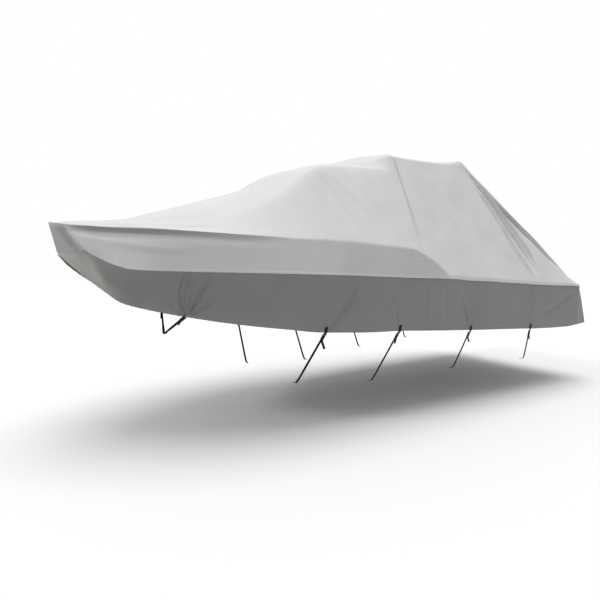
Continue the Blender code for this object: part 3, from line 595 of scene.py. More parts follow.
def top_skin(stations, lines, inset):
    """The top panels' outer face, with the doubled cloth of the belt seam, and its normals."""
    grid, normals = skin(stations, lines)
    above_belt = np.maximum((BELT - np.abs(lines)) * width_below(corners_at(stations), RAIL), 0)
    away_from_tip = smoothstep((stations - SEAM_FLAT) / SEAM_BLEND)[:, None]
    stand = doubled(above_belt, LAP) * (np.abs(lines) > RAIL) * away_from_tip
    return grid + normals * (stand - inset)[..., None], normals


SEAM_OFFSETS = (-0.064, -0.052, -0.042, -0.03, -0.02, -0.012, -0.006, 0, 0.006, 0.012, LAP,
                0.025, 0.032, 0.04, 0.05, 0.06, 0.075)  # closer stations at the cross seam

# The band under the rail line is a little darker towards the stern: painted shade. A strip down the stem is
# darker than the top's cloth and paler than the skirts': painted shade on the top and painted light on the
# skirts. It ends at a line that rises to the tip.
BAND_STATIONS, RAIL_BAND_PAINTED_SHADES = (0.5, 1.2, 2.3), (1.0, 0.95, 0.86)
TIP_STATIONS, TIP_LINES = (0.05, 0.10, 0.15, 0.20, 0.25, 0.45), (2.85, 3.20, 3.50, 3.70, 3.84, 4.0)
TIP_PAINTED_SHADE, TIP_SOFT = 0.66, 0.4
STEM_STATIONS, STEM_PAINTED_LIGHT = (0.0, 0.30, 0.41, 0.52, 0.70), (2.05, 1.95, 1.80, 1.45, 1.0)
STEM_EDGE_STATIONS, STEM_EDGE_SHARES, STEM_SOFT = (0.18, 0.32, 0.45), (-0.4, 0.1, 0.5), 0.45

# Painted shade in the crease under the bow rail: by shares at stations, between drops as the tuck's.
CREASE_STATIONS, CREASE_PAINTED_SHADES = (0.04, 0.20, 0.60, 1.05, 1.40, 1.65), (0.0, 0.30, 0.34, 0.27, 0.12, 0.0)
CREASE_DROPS = (0.003, 0.012, 0.036, 0.068)


def top_panel(name, node, start, end, inset, material, grain):
    stations = evenly(start, end, [CROSS_SEAM + offset for offset in SEAM_OFFSETS], grain)
    lines = top_lines(stations)
    grid, _ = top_skin(stations, lines, inset)
    # Painted shade on the band under the rail line.
    band = np.interp(stations, BAND_STATIONS, RAIL_BAND_PAINTED_SHADES)[:, None]
    # Painted shade on the top's strip down the stem, beyond the line that rises to the tip.
    tip = smoothstep((np.abs(lines) - np.interp(stations, TIP_STATIONS, TIP_LINES)[:, None]) / TIP_SOFT)
    shade = np.where(np.abs(lines) > RAIL, band * (1 - (1 - TIP_PAINTED_SHADE) * tip), 1.0)
    # Painted shade in the crease under the bow rail.
    shade *= 1 - under_rail(stations, lines, CREASE_STATIONS, CREASE_PAINTED_SHADES, CREASE_DROPS)
    return sheet_piece(name, grid, material, node, shade)


LAP_SHARES = (1.0, 0.8, 0.6, 0.4, 0.2)  # rows of the skirt's upper edge that lie under the top
LAP_MOST = 0.5  # the most of the width of the cloth above the belt line that they reach up
SKIRT_SPANS = (Span(0.0, 0.06, 4), Span(0.09, 1.0, 27))
STEM_DROP, STEM_DROP_END = 0.034, 0.42  # the starboard hem hangs a little lower beside the stem
LEAST_WIDTH = 0.1  # the skirt's width near the tip, where it is narrower, counts as this
UNDER_FORE = 0.0030  # how far the side skirts lie in where only the fore panel covers them
UNDER_START, UNDER_BLEND = 0.15, 0.1  # ahead of the cross seam, they start to lie in under both tops


def skirt_lines(stations, side):
    corners = corners_at(stations)
    lap = np.minimum(LAP / width_below(corners, RAIL), LAP_MOST)
    hem = edge_lines(stations, BELT, HEM_ROWS, HEM_SHARE)
    if side > 0:
        drop = STEM_DROP * (1 - smoothstep(stations / STEM_DROP_END))[:, None]
        hem += drop / np.maximum(width_below(corners, BELT), LEAST_WIDTH)
    upper = BELT + half_rows(SKIRT_SPANS)[None, :-1] * (hem[:, :1] - BELT)
    start = BELT - lap * np.array(LAP_SHARES)
    lines = np.concatenate([start, upper, hem], axis=1)
    return lines if side > 0 else -lines[:, ::-1]


def skirt_skin(stations, lines):
    """The side skirts' outer face, under the top's edge, with the doubled hem."""
    grid, normals = skin(stations, lines)
    from_hem = (HEM - np.abs(lines)) * width_below(corners_at(stations), BELT)
    from_stern = (LENGTH - stations)[:, None]
    hem = np.maximum(doubled(from_hem, HEM_BAND), doubled(from_stern, BINDING))
    both = smoothstep((stations - CROSS_SEAM + UNDER_START) / UNDER_BLEND)
    under = UNDER_FORE + (2 * LAYER - UNDER_FORE) * both
    stand = hem * smoothstep(stations / EDGE_CALM)[:, None] - under[:, None]
    return grid + normals * stand[..., None], normals


def skirt_panel(side_name, side, material):
    close = [LENGTH - distance for distance in BINDING_ROWS]
    stations = evenly(STEM_START, LENGTH, [*close, *PULL_ROWS], SKIRT_GRAIN)
    lines = skirt_lines(stations, side)
    grid, _ = skirt_skin(stations, lines)
    # Painted light on the skirts' strip down the stem, paler towards the hem.
    edge = np.interp(stations, STEM_EDGE_STATIONS, STEM_EDGE_SHARES)[:, None]
    strip = smoothstep((np.abs(lines) - BELT - edge) / STEM_SOFT)
    shade = 1 + (np.interp(stations, STEM_STATIONS, STEM_PAINTED_LIGHT)[:, None] - 1) * strip
    return sheet_piece(f"cloth_skirt_{side_name}", grid, material, f"skirt_{side_name}", shade)


# The stern skirt: its corners at the hem (how far aft they spring, and half-breadths), and rows down it.
TRANSOM_HEM = ((0.32, 0.0), (0.36, 0.80), (0.40, 1.07), (0.0, 1.152))
TRANSOM_LIP = 0.03  # share of the way down that hangs straight, before it springs aft
TRANSOM_SPRING = 0.9
TRANSOM_FLUTE, FLUTE_TURNS = 0.014, 2.4
TRANSOM_STITCHES = 0.93
TRANSOM_SHARES = (0.0, 0.008, 0.015, 0.03, 0.045, 0.07, 0.1, 0.14, 0.18, 0.23, 0.28, 0.34, 0.4, 0.46, 0.52,
                  0.58, 0.64, 0.7, 0.76, 0.82, 0.87, 0.90, 0.912, 0.918, 0.924, TRANSOM_STITCHES, 0.94, 0.955,
                  0.97, 0.985, 1.0)
TRANSOM_BAND, TRANSOM_SLOPE = 0.918, 0.006  # share of the way down where the hem's doubled cloth starts
TRANSOM_CALM, TRANSOM_EDGE_CALM, TRANSOM_EDGE_FLAT = 0.2, 0.4, 0.1
TRANSOM_LAST, TRANSOM_EDGES = RAIL - 0.045, RAIL - np.array([0.04, 0.025, 0.012, 0.0])  # lines at its edges
TRANSOM_PULLS = Wave((0.9, 0.10, 0.8), 0.006, 5.9)
CORNER_LAP = np.array([-0.014, -0.0045, 0.0])  # from its starboard edge in behind the side skirt


def transom_skin(rows):
    """The stern skirt's outer face: a grid by share of the way down and line across."""
    top = corners_at(np.array([LENGTH]))[:, :4]
    height = rounded(top, rows)[0, :, 1]
    hem_z = OFFSETS[-1, Section._fields.index("hem_z")]
    flute = TRANSOM_FLUTE * np.sin(FLUTE_TURNS * rows[0] * math.pi) * (1 - (np.abs(rows[0]) / RAIL) ** 4)
    layers = []
    for share in TRANSOM_SHARES:
        sprung = (max(share - TRANSOM_LIP, 0.0) / (1 - TRANSOM_LIP)) ** TRANSOM_SPRING
        level = top.copy()
        for k, (reach, y) in enumerate(TRANSOM_HEM):
            level[0, k] = (top[0, k, 0] + (y - top[0, k, 0]) * share, reach * sprung)
        at = rounded(level, rows)[0]
        stand = np.maximum(at[:, 1] + flute * sprung, 0) + CORNER_AIR + CLOTH
        z = height + (hem_z - height) * share
        layers.append(np.stack([LENGTH + stand - HOLD_STATION, at[:, 0], z - HOLD_HEIGHT], axis=-1))
    grid = np.array(layers)
    shares = np.array(TRANSOM_SHARES)[:, None]
    from_edge = RAIL - np.abs(rows)
    calm = smoothstep(shares / TRANSOM_CALM) * smoothstep(from_edge / TRANSOM_EDGE_CALM)
    slack = sum(waves(grid, wave) for wave in RUMPLES) + waves(grid, TRANSOM_PULLS)
    hem = DOUBLED * smoothstep((shares - TRANSOM_BAND) / TRANSOM_SLOPE)
    stand = slack * calm + hem * smoothstep(from_edge / TRANSOM_EDGE_FLAT)
    normals = normals_of(grid)
    return grid + normals * stand[..., None], normals


def transom_panel(material):
    half = half_rows()
    half = np.concatenate([half[half < TRANSOM_LAST], TRANSOM_EDGES])
    grid, _ = transom_skin(mirrored(half)[None, :])
    port, starboard = grid[:, :1] + CORNER_LAP * (1, -1, 1), grid[:, -1:] + CORNER_LAP
    grid = np.concatenate([port, grid, starboard], axis=1)
    return sheet_piece("cloth_skirt_transom", grid, material, "skirt_transom")


# ----------------------------------------
# Stitching

STITCH_PITCH = 0.0095
STITCH_LENGTH = 0.0068
STITCH_WIDTH = 0.0012
STITCH_HEIGHT = 0.0007
STITCH_SUNK = 0.0004
STITCH_CROWN = 0.55  # where its round part ends, as a share of half its length
NEAR = 0.004  # spacing of the rows beside a seam that its surface normals come from
SEAM_INSETS = (0.0045, 0.0130)  # the stitching's rows in from an edge
HEM_INSETS = (0.0405, 0.0060)
BINDING_INSETS = (0.0050, 0.0180)
CROSS_INSETS = (0.0035, LAP - 0.0040)
BINDING_LINES = (BELT + 0.02, HEM - 0.01, 40)  # its stitching's first and last lines and points
MOST_IN = 0.8  # the most of the cloth's width that a run along an edge lies in from it
SEAM_START, HEM_START, SEAM_GAP = 0.08, 0.10, 0.002
BELOW_RAIL, SEAM_ENDS = (3.8, 3.9, 3.96), 3.97
TRANSOM_SEAMS, TRANSOM_ENDS = (2, -3), (2.93, 60)  # columns beside its edges; its last line and points


def resampled(points, normals, pitch):
    """Even points along a polyline, those a third of the pitch behind and ahead, and its normals."""
    steps = np.linalg.norm(np.diff(points, axis=0), axis=1)
    run = np.concatenate([[0], steps.cumsum()])
    at = np.arange(pitch / 2, run[-1], pitch)

    def read(values, places):
        return np.stack([np.interp(places, run, column) for column in values.T], axis=1)

    return [read(points, at + shift) for shift in (-pitch / 3, 0, pitch / 3)], read(normals, at)


def tree_of(piece):
    """The piece's outer face, as a tree that finds its nearest point."""
    mesh = piece.data
    return BVHTree.FromPolygons([v.co for v in mesh.vertices], [p.vertices for p in mesh.polygons])


def laid(tree, points, outwards):
    """The points moved onto the piece's outer face, and the face's normals there."""
    places, normals = [], []
    for point, outward in zip(points, outwards):
        place, normal, _, _ = tree.find_nearest(Vector(point + outward * STITCH_HEIGHT))
        places.append(place)
        normals.append(normal if normal.dot(Vector(outward)) > 0 else -normal)
    return np.array(places), np.array(normals)


STITCH_FACES = ((0, 2, 1), (0, 3, 2), (0, 1, 3), (1, 2, 5, 4), (2, 3, 6, 5), (3, 1, 4, 6), (7, 4, 5),
                (7, 5, 6), (7, 6, 4))


def stitch_block(points, normals, tree):
    """The corners of a row of stitches, each a short thread sunk at both ends."""
    (behind, centre, ahead), outwards = resampled(points, normals, STITCH_PITCH)
    behind, _ = laid(tree, behind, outwards)
    ahead, _ = laid(tree, ahead, outwards)
    centre, normal = laid(tree, centre, outwards)
    forward = (ahead - behind) / np.maximum(np.linalg.norm(ahead - behind, axis=1, keepdims=True), NO_LENGTH)
    side = np.cross(forward, normal)
    half, wide = forward * STITCH_LENGTH / 2, side * STITCH_WIDTH / 2
    low, high = -normal * STITCH_SUNK, normal * STITCH_HEIGHT
    corners = [centre - half + low]
    for share in (-STITCH_CROWN, STITCH_CROWN):
        corners += [centre + half * share + offset for offset in (-wide, high, wide)]
    corners.append(centre + half + low)
    return np.stack(corners, axis=1)


def stitching(name, runs, material):
    """One piece with every stitch of some seams. A run is a polyline, its normals and its piece's tree."""
    corners, faces = [], []
    for run in runs:
        for stitch in stitch_block(*run):
            faces += [tuple(len(corners) + k for k in face) for face in STITCH_FACES]
            corners += stitch.tolist()
    return plain_piece(name, corners, faces, material)


def plain_piece(name, corners, faces, material, node=None, uvs=None):
    mesh = bpy.data.meshes.new(name)
    mesh.from_pydata(corners, [], faces)
    if uvs is not None:
        at = np.array([uvs[k] for face in faces for k in face])
        mesh.uv_layers.new(name="cloth").data.foreach_set("uv", at.reshape(-1))
    bm = bmesh.new()
    bm.from_mesh(mesh)
    bmesh.ops.recalc_face_normals(bm, faces=bm.faces)
    bm.to_mesh(mesh)
    bm.free()
    return new_piece(mesh, material, node)


def lengthwise(surface, start, end, corner, distance, side):
    """A run along a panel's edge, this far in from the line after a corner."""
    stations = evenly(start, end)
    rows = (distance + NEAR, distance, max(distance - NEAR, 0))
    lines = side * edge_lines(stations, corner, rows, MOST_IN)
    grid, normals = surface(stations, lines)
    return grid[:, 1], normals[:, 1]


def crosswise(surface, station, lines):
    """A run across a panel at one station, through these lines."""
    stations = np.array([station - NEAR, station, station + NEAR])
    grid, normals = surface(stations, np.broadcast_to(lines, (3, len(lines))))
    return grid[1], normals[1]


def fore_skin(stations, lines):
    return top_skin(stations, lines, 0.0)


def aft_skin(stations, lines):
    return top_skin(stations, lines, LAYER)


def transom_runs(tree):
    grid, normals = transom_skin(mirrored(np.linspace(0, *TRANSOM_ENDS))[None, :])
    hem = TRANSOM_SHARES.index(TRANSOM_STITCHES)
    runs = [(grid[hem], normals[hem], tree)]
    return runs + [(grid[3:, column], normals[3:, column], tree) for column in TRANSOM_SEAMS]


def top_stitches(fore, aft, material):
    over = CROSS_SEAM + LAP
    fore_tree, aft_tree = tree_of(fore), tree_of(aft)
    half = np.concatenate([half_rows(), BELOW_RAIL])
    lines = mirrored(half[half <= SEAM_ENDS])
    runs = [(*crosswise(fore_skin, CROSS_SEAM + inset, lines), fore_tree) for inset in CROSS_INSETS]
    runs.append((*crosswise(aft_skin, LENGTH - SEAM_INSETS[0], lines), aft_tree))
    for side in (-1, 1):
        for inset in SEAM_INSETS:
            for surface, start, end, tree in (
                (fore_skin, SEAM_START, over - SEAM_GAP, fore_tree),
                (aft_skin, over + SEAM_GAP, LENGTH - NEAR, aft_tree),
            ):
                runs.append((*lengthwise(surface, start, end, RAIL, inset, side), tree))
    return stitching("stitching_top", runs, material)


def skirt_stitches(port, starboard, transom, material):
    runs = transom_runs(tree_of(transom))
    down = np.linspace(*BINDING_LINES)
    for side, piece in ((-1, port), (1, starboard)):
        tree = tree_of(piece)
        for inset in HEM_INSETS:
            runs.append((*lengthwise(skirt_skin, HEM_START, LENGTH - NEAR, BELT, inset, side), tree))
        for inset in BINDING_INSETS:
            runs.append((*crosswise(skirt_skin, LENGTH - inset, side * down), tree))
    return stitching("stitching_skirt", runs, material)


# ----------------------------------------
# Webbing and buckles. Each is built in the frame of its packed buckle: across, down the strap, and out.

Strap = namedtuple("Strap", "number station end_station end_y end_z tail hang tab")
STRAPS = (
    Strap(1, 1.066, 0.991, 0.0, 0.932, 0.075, 0.15, 0.030),
    Strap(2, 2.190, 2.134, 0.590, 0.420, 0.090, 0.95, 0.055),
    Strap(3, 3.050, 3.024, 0.685, 0.350, 0.070, 0.20, 0.065),
    Strap(4, 4.100, 4.094, 0.870, 0.400, 0.060, 0.80, 0.050),
    Strap(5, 5.204, 5.204, 1.045, 0.420, 0.055, 0.30, 0.060),
)
SIDES = (("port", -1), ("starboard", 1))
WEBBING = 0.0016
WEBBING_WIDTH = 0.026
TAB_WIDTH = 0.030
BUCKLE_LENGTH, BUCKLE_WIDTH, BUCKLE_DEPTH = 0.058, 0.036, 0.0085
BAR_AT = (0.0035, 0.0170, 0.0335)  # the three bars' middles, down from the buckle's top
BAR_HALF = (0.0025, 0.0028, 0.0022)
LIP_FROM = 0.0500
RAIL_WIDE = 0.0045
EDGE_RADIUS, EDGE_STEPS = 0.0011, 3
LIP_TILT = 0.0015
WAIST = 0.0016  # how far a buckle's sides curve in
WAIST_SHARES = (1, 0, 0, -1)
BARRED_ROWS = (0, 2, 4, 6)  # rows of the buckle that run right across it: three bars and the lip
TAIL_OFF = 0.010
TAIL_POINTS = ((1.0, 1.0, 1.0), (0.65, 0.9, 0.75), (0.25, 0.5, 0.28))  # shares: along, turned down, off
TAB_ROWS = 7
TAB_STEP = 0.003
TAB_BLEND = 0.25
HANGING = Vector((0.28, 0.0, -0.96))  # the way a slack tail hangs
HOOK_TURN, HOOK_DROP = 0.050, 0.12
BELLY_HALF = 0.02
BELLY_POINTS = (0.3, 0.6, 0.85)
BELLY_BLEND = 0.12
KEEL_DROP = 0.010
SWEEP_STEP = 0.006
# The webbing's air off the skirt, off the top and middle bars, and off the buckle's face.
OFF_SKIRT, OFF_TOP_BAR, OFF_MIDDLE_BAR, OFF_FACE = 0.0002, 0.0003, 0.0004, 0.0006
TAB_START = 0.001
TAB_BEFORE, TAB_BEHIND, TAB_PINCH = 0.012, 0.010, 0.6  # a tab's two faces above the bar, and their pinch
RISE_AT, RISE = 1.5, 0.0010  # where a strap lifts over the middle bar, in turns below it, and how far
BACK_RUN = 0.004
STRAP_BOW = 0.004
STRAIGHT_END, HOOK_BEND = 0.02, 0.25
LEAST_STEP = 1e-6
# The webbing's section, as shares of its width and of its thickness.
SECTION = ((-0.5, 0.0), (-0.485, 0.42), (-0.40, 0.5), (0.40, 0.5), (0.485, 0.42), (0.5, 0.0),
           (0.485, -0.42), (0.40, -0.5), (-0.40, -0.5), (-0.485, -0.42))

Hold = namedtuple("Hold", "top across down out")


def hold_of(node, side):
    """The frame at a packed buckle's upper end: its top middle, and the directions across, down and out."""
    points = np.empty(len(node.data.vertices) * 3)
    node.data.vertices.foreach_get("co", points)
    points = points.reshape(-1, 3)
    centre = points.mean(axis=0)
    _, axes = np.linalg.eigh(np.cov((points - centre).T))
    out, across, down = axes.T
    down = down * np.sign(-down[2])
    out = out * np.sign(out[1] * side)
    across = across * np.sign(across[0])
    return Hold(centre - down * BUCKLE_LENGTH / 2, across, down, out)


def unit(vectors):
    return vectors / np.linalg.norm(vectors, axis=-1, keepdims=True)


def mixed(u, a, b, knot_a, knot_b):
    return (a * (knot_b - u) + b * (u - knot_a)) / (knot_b - knot_a)


def smooth_path(points, step=SWEEP_STEP):
    """A centripetal curve through the points, sampled evenly."""
    points = np.array(points)
    padded = np.vstack([2 * points[0] - points[1], points, 2 * points[-1] - points[-2]])
    out = []
    for quad in zip(padded, padded[1:], padded[2:], padded[3:]):
        steps = [max(np.linalg.norm(b - a), LEAST_STEP) ** 0.5 for a, b in zip(quad, quad[1:])]
        knots = np.cumsum([0] + steps)
        count = max(2, int(np.linalg.norm(quad[2] - quad[1]) / step) + 1)
        for u in np.linspace(knots[1], knots[2], count, endpoint=False):
            level = quad
            for gap in (1, 2):
                pairs = zip(level, level[1:], knots, knots[gap:])
                level = [mixed(u, *pair) for pair in pairs]
            out.append(mixed(u, *level, knots[1], knots[2]))
    out.append(points[-1])
    return np.array(out)


def webbing_piece(kind, label, path, across, width, material):
    """Webbing swept along a path: a flat strip with rounded selvedges. It stands for the node of its kind."""
    ahead = unit(np.gradient(path, axis=0))
    across = unit(across - ahead * (across * ahead).sum(axis=1, keepdims=True))
    out = np.cross(ahead, across)
    run = np.concatenate([[0], np.linalg.norm(np.diff(path, axis=0), axis=1).cumsum()])
    ring = len(SECTION)
    corners, uvs = [], []
    for point, wide, thick, at in zip(path, across, out, run):
        corners += [(point + wide * u * width + thick * v * WEBBING).tolist() for u, v in SECTION]
        uvs += [(at, u * width) for u, _ in SECTION]
    last = (len(path) - 1) * ring
    edges = [(k + j, k + (j + 1) % ring) for k in range(0, last, ring) for j in range(ring)]
    faces = [(a, b, b + ring, a + ring) for a, b in edges]
    faces += [tuple(range(ring))[::-1], tuple(range(last, last + ring))]
    return plain_piece(f"{kind}_piece_{label}", corners, faces, material, f"{kind}_{label}", uvs)


def around(hold, down, out):
    return hold.top + hold.down * down + hold.out * out


def tab_piece(strap, label, side, hold, material):
    """Webbing sewn up the skirt, which runs down round the buckle's top bar and back."""
    stations = strap.station + np.array([-0.5, 0.0, 0.5]) * TAB_WIDTH
    lines = side * edge_lines(stations, BELT, np.linspace(strap.tab, TAB_START, TAB_ROWS), 1.0)
    grid, normals = skirt_skin(stations, lines)
    on_face = (grid + normals * (WEBBING / 2 + OFF_SKIRT))[1]
    bar, turn = BAR_AT[0], BAR_HALF[0] + WEBBING / 2 + OFF_TOP_BAR
    round_bar = ((bar - TAB_BEFORE, turn), (bar, turn), (bar + turn, 0), (bar, -turn),
                 (bar - TAB_BEHIND, -turn * TAB_PINCH))
    path = smooth_path([*on_face, *(around(hold, *place) for place in round_bar)], TAB_STEP)
    on_skirt = strap.tab / np.linalg.norm(np.diff(path, axis=0), axis=1).sum()
    blend = smoothstep((np.linspace(0, 1, len(path))[:, None] - on_skirt) / TAB_BLEND)
    across = unit((grid[2] - grid[0]).mean(axis=0)) * (1 - blend) + hold.across * blend
    return webbing_piece("tab", label, path, across, TAB_WIDTH, material)


def buckle_piece(label, hold, material):
    """A ladder buckle: two rails, three bars and a lip, with rounded edges."""
    wide, deep = BUCKLE_WIDTH / 2, BUCKLE_DEPTH / 2
    across = (-wide, -wide + RAIL_WIDE, wide - RAIL_WIDE, wide)
    bars = [middle + side * half for middle, half in zip(BAR_AT, BAR_HALF) for side in (-1, 1)]
    down = [0.0, *bars[1:], LIP_FROM, BUCKLE_LENGTH]
    bm = bmesh.new()
    cells = {}

    def corner(i, j, k):
        if (i, j, k) not in cells:
            tilt = LIP_TILT * float(smoothstep((down[j] - BAR_AT[2]) / (BUCKLE_LENGTH - BAR_AT[2])))
            waist = WAIST * math.sin(math.pi * down[j] / BUCKLE_LENGTH) * WAIST_SHARES[i]
            at = around(hold, down[j], (deep if k else -deep) + tilt) + hold.across * (across[i] + waist)
            cells[i, j, k] = bm.verts.new(at)
        return cells[i, j, k]

    filled = {(i, j) for i in range(3) for j in range(len(down) - 1) if i != 1 or j in BARRED_ROWS}
    for i, j in filled:
        for k in (0, 1):
            bm.faces.new([corner(i, j, k), corner(i + 1, j, k), corner(i + 1, j + 1, k), corner(i, j + 1, k)])
        edges = (((i - 1, j), (i, j), (i, j + 1)), ((i + 1, j), (i + 1, j), (i + 1, j + 1)),
                 ((i, j - 1), (i, j), (i + 1, j)), ((i, j + 1), (i, j + 1), (i + 1, j + 1)))
        for beyond, first, second in edges:
            if beyond not in filled:
                bm.faces.new([corner(*first, 0), corner(*second, 0), corner(*second, 1), corner(*first, 1)])
    bmesh.ops.recalc_face_normals(bm, faces=bm.faces)
    mesh = bpy.data.meshes.new(f"buckle_piece_{label}")
    bm.to_mesh(mesh)
    bm.free()
    piece = new_piece(mesh, material, f"buckle_{label}")
    bevel = piece.modifiers.new("rounded edges", "BEVEL")
    bevel.width = EDGE_RADIUS
    bevel.segments = EDGE_STEPS
    bevel.limit_method = "ANGLE"
    return piece


def threaded(hold, strap):
    """The path of a strap's end: its free tail, over the lip, round the middle bar and down behind."""
    bar = BAR_AT[1]
    turn = BAR_HALF[1] + WEBBING / 2 + OFF_MIDDLE_BAR
    front = BUCKLE_DEPTH / 2 + WEBBING / 2 + OFF_FACE
    back = -BUCKLE_DEPTH / 2 + WEBBING
    lip = around(hold, BUCKLE_LENGTH, front + OFF_FACE)
    way = hold.down * (1 - strap.hang) + np.array(HANGING) * strap.hang
    free = [lip + (hold.down * (1 - turned) + way * turned) * strap.tail * share + hold.out * TAIL_OFF * off
            for share, turned, off in TAIL_POINTS]
    places = ((BAR_AT[2], front), (bar + turn * RISE_AT, turn + RISE), (bar, turn), (bar - turn, 0),
              (bar, -turn), (BAR_AT[2], back), (BUCKLE_LENGTH + BACK_RUN, back))
    return [*free, lip, *(around(hold, *place) for place in places)]


def in_frame(station, y, z):
    return np.array([station - HOLD_STATION, y, z - HOLD_HEIGHT])


def strap_piece(strap, label, side, hold, material):
    end = in_frame(strap.end_station, side * strap.end_y, strap.end_z)
    turn = HOOK_TURN * unit(np.array([0.0, -side, -HOOK_DROP]))
    start = threaded(hold, strap)
    down = unit(end - start[-1])
    middle = (start[-1] + end) / 2 + np.array([0.0, side * STRAP_BOW, 0.0])
    path = smooth_path([*start, middle, end - down * STRAIGHT_END, end + turn * HOOK_BEND, end + turn])
    across = np.broadcast_to(hold.across, path.shape)
    return webbing_piece("strap", label, path, across, WEBBING_WIDTH, material)


def belly_strap_piece(strap, port, starboard, material):
    """From the port tail, through its buckle, down under the keel and up to the starboard tail."""
    halves = []
    for side, hold in ((-1, port), (1, starboard)):
        path = threaded(hold, strap)
        inboard = in_frame(strap.end_station, side * BELLY_HALF, strap.end_z) - path[-1]
        halves.append(path + [path[-1] + inboard * share for share in BELLY_POINTS])
    keel = in_frame(strap.end_station, 0, strap.end_z - KEEL_DROP)
    path = smooth_path(halves[0] + [keel] + halves[1][::-1])
    share = np.linspace(0, 1, len(path))[:, None]
    middle = np.exp(-(((share - 0.5) / BELLY_BLEND) ** 2))
    across = np.where(share < 0.5, port.across, starboard.across)
    across = across * (1 - middle) + np.array([1.0, 0, 0]) * middle
    return webbing_piece("strap", strap.number, path, across, WEBBING_WIDTH, material)


def add_hardware(webbing, plastic):
    for strap in STRAPS:
        holds = []
        for side_name, side in SIDES:
            label = f"{strap.number}_{side_name}"
            hold = hold_of(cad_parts[f"buckle_{label}"], side)
            holds.append(hold)
            tab_piece(strap, label, side, hold, webbing)
            buckle_piece(label, hold, plastic)
            if strap.number > 1:
                strap_piece(strap, label, side, hold, webbing)
        if strap.number == 1:
            belly_strap_piece(strap, *holds, webbing)


# ----------------------------------------
# Materials

WEAVE_PITCH = 0.0011
RIB_PITCH = 0.0021
YARN_PITCH = 0.0026
BANDS_SCALE = 0.314  # a wave texture's scale, times the pitch of its bands
BLACK = (0.007, 0.007, 0.0075)
CLOTH_ROUGHNESS, WEBBING_ROUGHNESS, FLOOR_ROUGHNESS = 0.82, 0.7, 0.9
CLOTH_LOOKS = {"Sheen Weight": 0.06, "Sheen Roughness": 0.6, "Specular IOR Level": 0.25}
WEBBING_LOOKS = {"Specular IOR Level": 0.15}
MOTTLE = {"Scale": 2.2, "Detail": 6, "Roughness": 0.55}
MOTTLE_RANGE = {"From Min": 0.3, "From Max": 0.7, "To Min": 0.955, "To Max": 1.03}
WEAVE_RELIEF, RIB_RELIEF = (0.25, 0.0003), (0.7, 0.0005)  # a bump's strength and distance
# Roughness, and the grain's scale, strength and distance.
THREAD_GRAIN = (0.6, 900, 0.4, 0.0002)
PLASTIC_GRAIN = (0.45, 1400, 0.15, 0.0001)
PALE_THREAD = (0.42, 0.42, 0.41)
DARK_THREAD = (0.20, 0.20, 0.195)


def add_node(tree, kind, values=(), **settings):
    """A node with its settings and the values of some of its inputs."""
    node = tree.nodes.new("ShaderNode" + kind)
    for name, value in settings.items():
        setattr(node, name, value)
    for name, value in dict(values).items():
        node.inputs[name].default_value = value
    return node


def material_of(name, colour, roughness, looks=()):
    material = bpy.data.materials.new(name)
    material.use_nodes = True
    shader = material.node_tree.nodes["Principled BSDF"]
    plain = {"Base Color": (*colour, 1), "Roughness": roughness, "Metallic": 0}
    for socket, value in {**plain, **dict(looks)}.items():
        shader.inputs[socket].default_value = value
    return material, material.node_tree, shader


def add_relief(tree, shader, height, strength, distance):
    bump = add_node(tree, "Bump", {"Strength": strength, "Distance": distance})
    tree.links.new(height, bump.inputs["Height"])
    tree.links.new(bump.outputs["Normal"], shader.inputs["Normal"])


def bands_product(tree, place, pitches, operation, terms):
    """Bands across and along the cloth's map, joined by an operation on these terms."""
    bands = []
    for axis, pitch in zip("XY", pitches):
        wave = add_node(tree, "TexWave", {"Scale": BANDS_SCALE / pitch}, bands_direction=axis)
        tree.links.new(place.outputs["UV"], wave.inputs["Vector"])
        bands.append(wave.outputs["Fac"])
    joined = add_node(tree, "Math", operation=operation)
    for socket, term in zip(joined.inputs, terms):
        tree.links.new(bands[term], socket)
    return joined.outputs["Value"]


def cloth_material(name, colour):
    """Coated woven cloth: a fine weave, faint mottling, soft sheen and the panels' painted light and shade."""
    material, tree, shader = material_of(name, colour, CLOTH_ROUGHNESS, CLOTH_LOOKS)
    place = add_node(tree, "TexCoord")
    mottle = add_node(tree, "TexNoise", MOTTLE)
    tree.links.new(place.outputs["Object"], mottle.inputs["Vector"])
    ramp = add_node(tree, "MapRange", MOTTLE_RANGE)
    tree.links.new(mottle.outputs["Fac"], ramp.inputs["Value"])
    # The panels' painted light and shade, and the faint mottling, multiply the colour.
    shade = add_node(tree, "Attribute", attribute_name="shade")
    following = shader.inputs["Base Color"]
    for value in (shade.outputs["Fac"], ramp.outputs["Result"]):
        values = {"Factor": 1, "A": (*colour, 1)}
        times = add_node(tree, "Mix", values, data_type="RGBA", blend_type="MULTIPLY")
        tree.links.new(value, times.inputs["B"])
        tree.links.new(times.outputs["Result"], following)
        following = times.inputs["A"]
    weave = bands_product(tree, place, (WEAVE_PITCH, WEAVE_PITCH), "MULTIPLY", (0, 1))
    add_relief(tree, shader, weave, *WEAVE_RELIEF)
    return material


def webbing_material():
    """Black polyester webbing: ribs across it, broken by the yarns along it."""
    material, tree, shader = material_of("black webbing", BLACK, WEBBING_ROUGHNESS, WEBBING_LOOKS)
    place = add_node(tree, "TexCoord")
    ribs = bands_product(tree, place, (RIB_PITCH, YARN_PITCH), "MULTIPLY_ADD", (0, 1, 0))
    add_relief(tree, shader, ribs, *RIB_RELIEF)
    return material


def grained_material(name, colour, roughness, scale, strength, distance):
    """Thread or moulded plastic: a plain colour with a fine grain."""
    material, tree, shader = material_of(name, colour, roughness)
    grain = add_node(tree, "TexNoise", {"Scale": scale})
    tree.links.new(add_node(tree, "TexCoord").outputs["Object"], grain.inputs["Vector"])
    add_relief(tree, shader, grain.outputs["Fac"], strength, distance)
    return material


# ----------------------------------------
# Floor and light

TOP_COLOUR = (0.362, 0.362, 0.359)
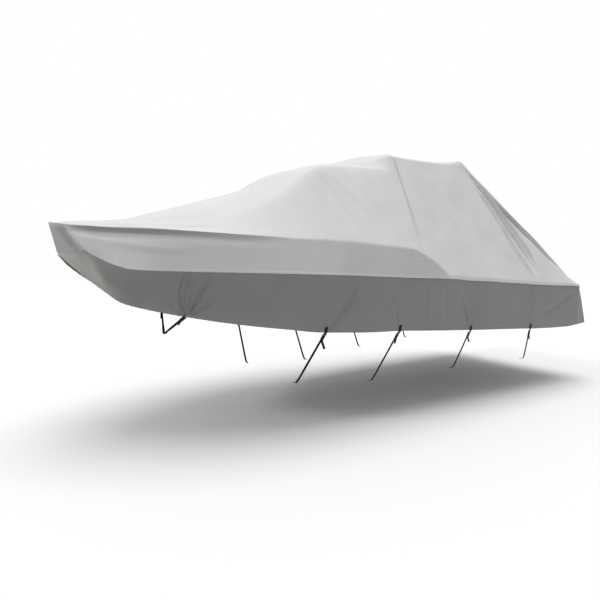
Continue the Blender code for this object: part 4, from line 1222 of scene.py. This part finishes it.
# The skirts' cloth is much darker than the top's. Part of that stands for the shade on the undercut skirts,
# painted into the colour.
SKIRT_COLOUR = (0.150, 0.149, 0.143)
FLOOR_COLOUR = (0.475, 0.475, 0.475)
FLOOR_SIZE = 120

Sun = namedtuple("Sun", "name strength place degrees")
SUNS = (
    Sun("overhead", 3.05, (0.8, -1.1, 10), 45),
    Sun("bow key", 1.1, (-8, 0, 6), 12),
)


def add_floor():
    bpy.ops.mesh.primitive_plane_add(size=FLOOR_SIZE, location=(0, 0, -HOLD_HEIGHT))
    floor = bpy.context.object
    floor.name = "floor"
    floor.data.materials.append(material_of("floor", FLOOR_COLOUR, FLOOR_ROUGHNESS)[0])


def add_sun(sun):
    """A soft light from its place towards the origin."""
    data = bpy.data.lights.new(sun.name, "SUN")
    data.energy = sun.strength
    data.angle = math.radians(sun.degrees)
    light = bpy.data.objects.new(sun.name, data)
    bpy.context.scene.collection.objects.link(light)
    light.location = sun.place
    light.rotation_euler = (Vector() - Vector(sun.place)).to_track_quat("-Z", "Y").to_euler()


def add_world():
    world = bpy.data.worlds.new("studio")
    world.use_nodes = True
    background = world.node_tree.nodes["Background"]
    background.inputs["Color"].default_value = (1, 1, 1, 1)
    background.inputs["Strength"].default_value = 1.0
    bpy.context.scene.world = world


add_world()
add_floor()
for sun in SUNS:
    add_sun(sun)
bpy.context.scene.view_settings.view_transform = "Standard"

top_cloth = cloth_material("cover cloth", TOP_COLOUR)
skirt_cloth = cloth_material("skirt cloth", SKIRT_COLOUR)
webbing = webbing_material()
plastic = grained_material("buckle plastic", BLACK, *PLASTIC_GRAIN)
pale_thread = grained_material("pale thread", PALE_THREAD, *THREAD_GRAIN)
dark_thread = grained_material("dark thread", DARK_THREAD, *THREAD_GRAIN)

top_fore = top_panel("cloth_top_fore", "top_fore", 0.0, CROSS_SEAM + LAP, 0.0, top_cloth, FORE_GRAIN)
top_aft = top_panel("cloth_top_aft", "top_aft", CROSS_SEAM, LENGTH, LAYER, top_cloth, GRAIN)
skirt_port, skirt_starboard = (skirt_panel(side_name, side, skirt_cloth) for side_name, side in SIDES)
skirt_transom = transom_panel(skirt_cloth)

top_stitches(top_fore, top_aft, pale_thread)
skirt_stitches(skirt_port, skirt_starboard, skirt_transom, dark_thread)
add_hardware(webbing, plastic)
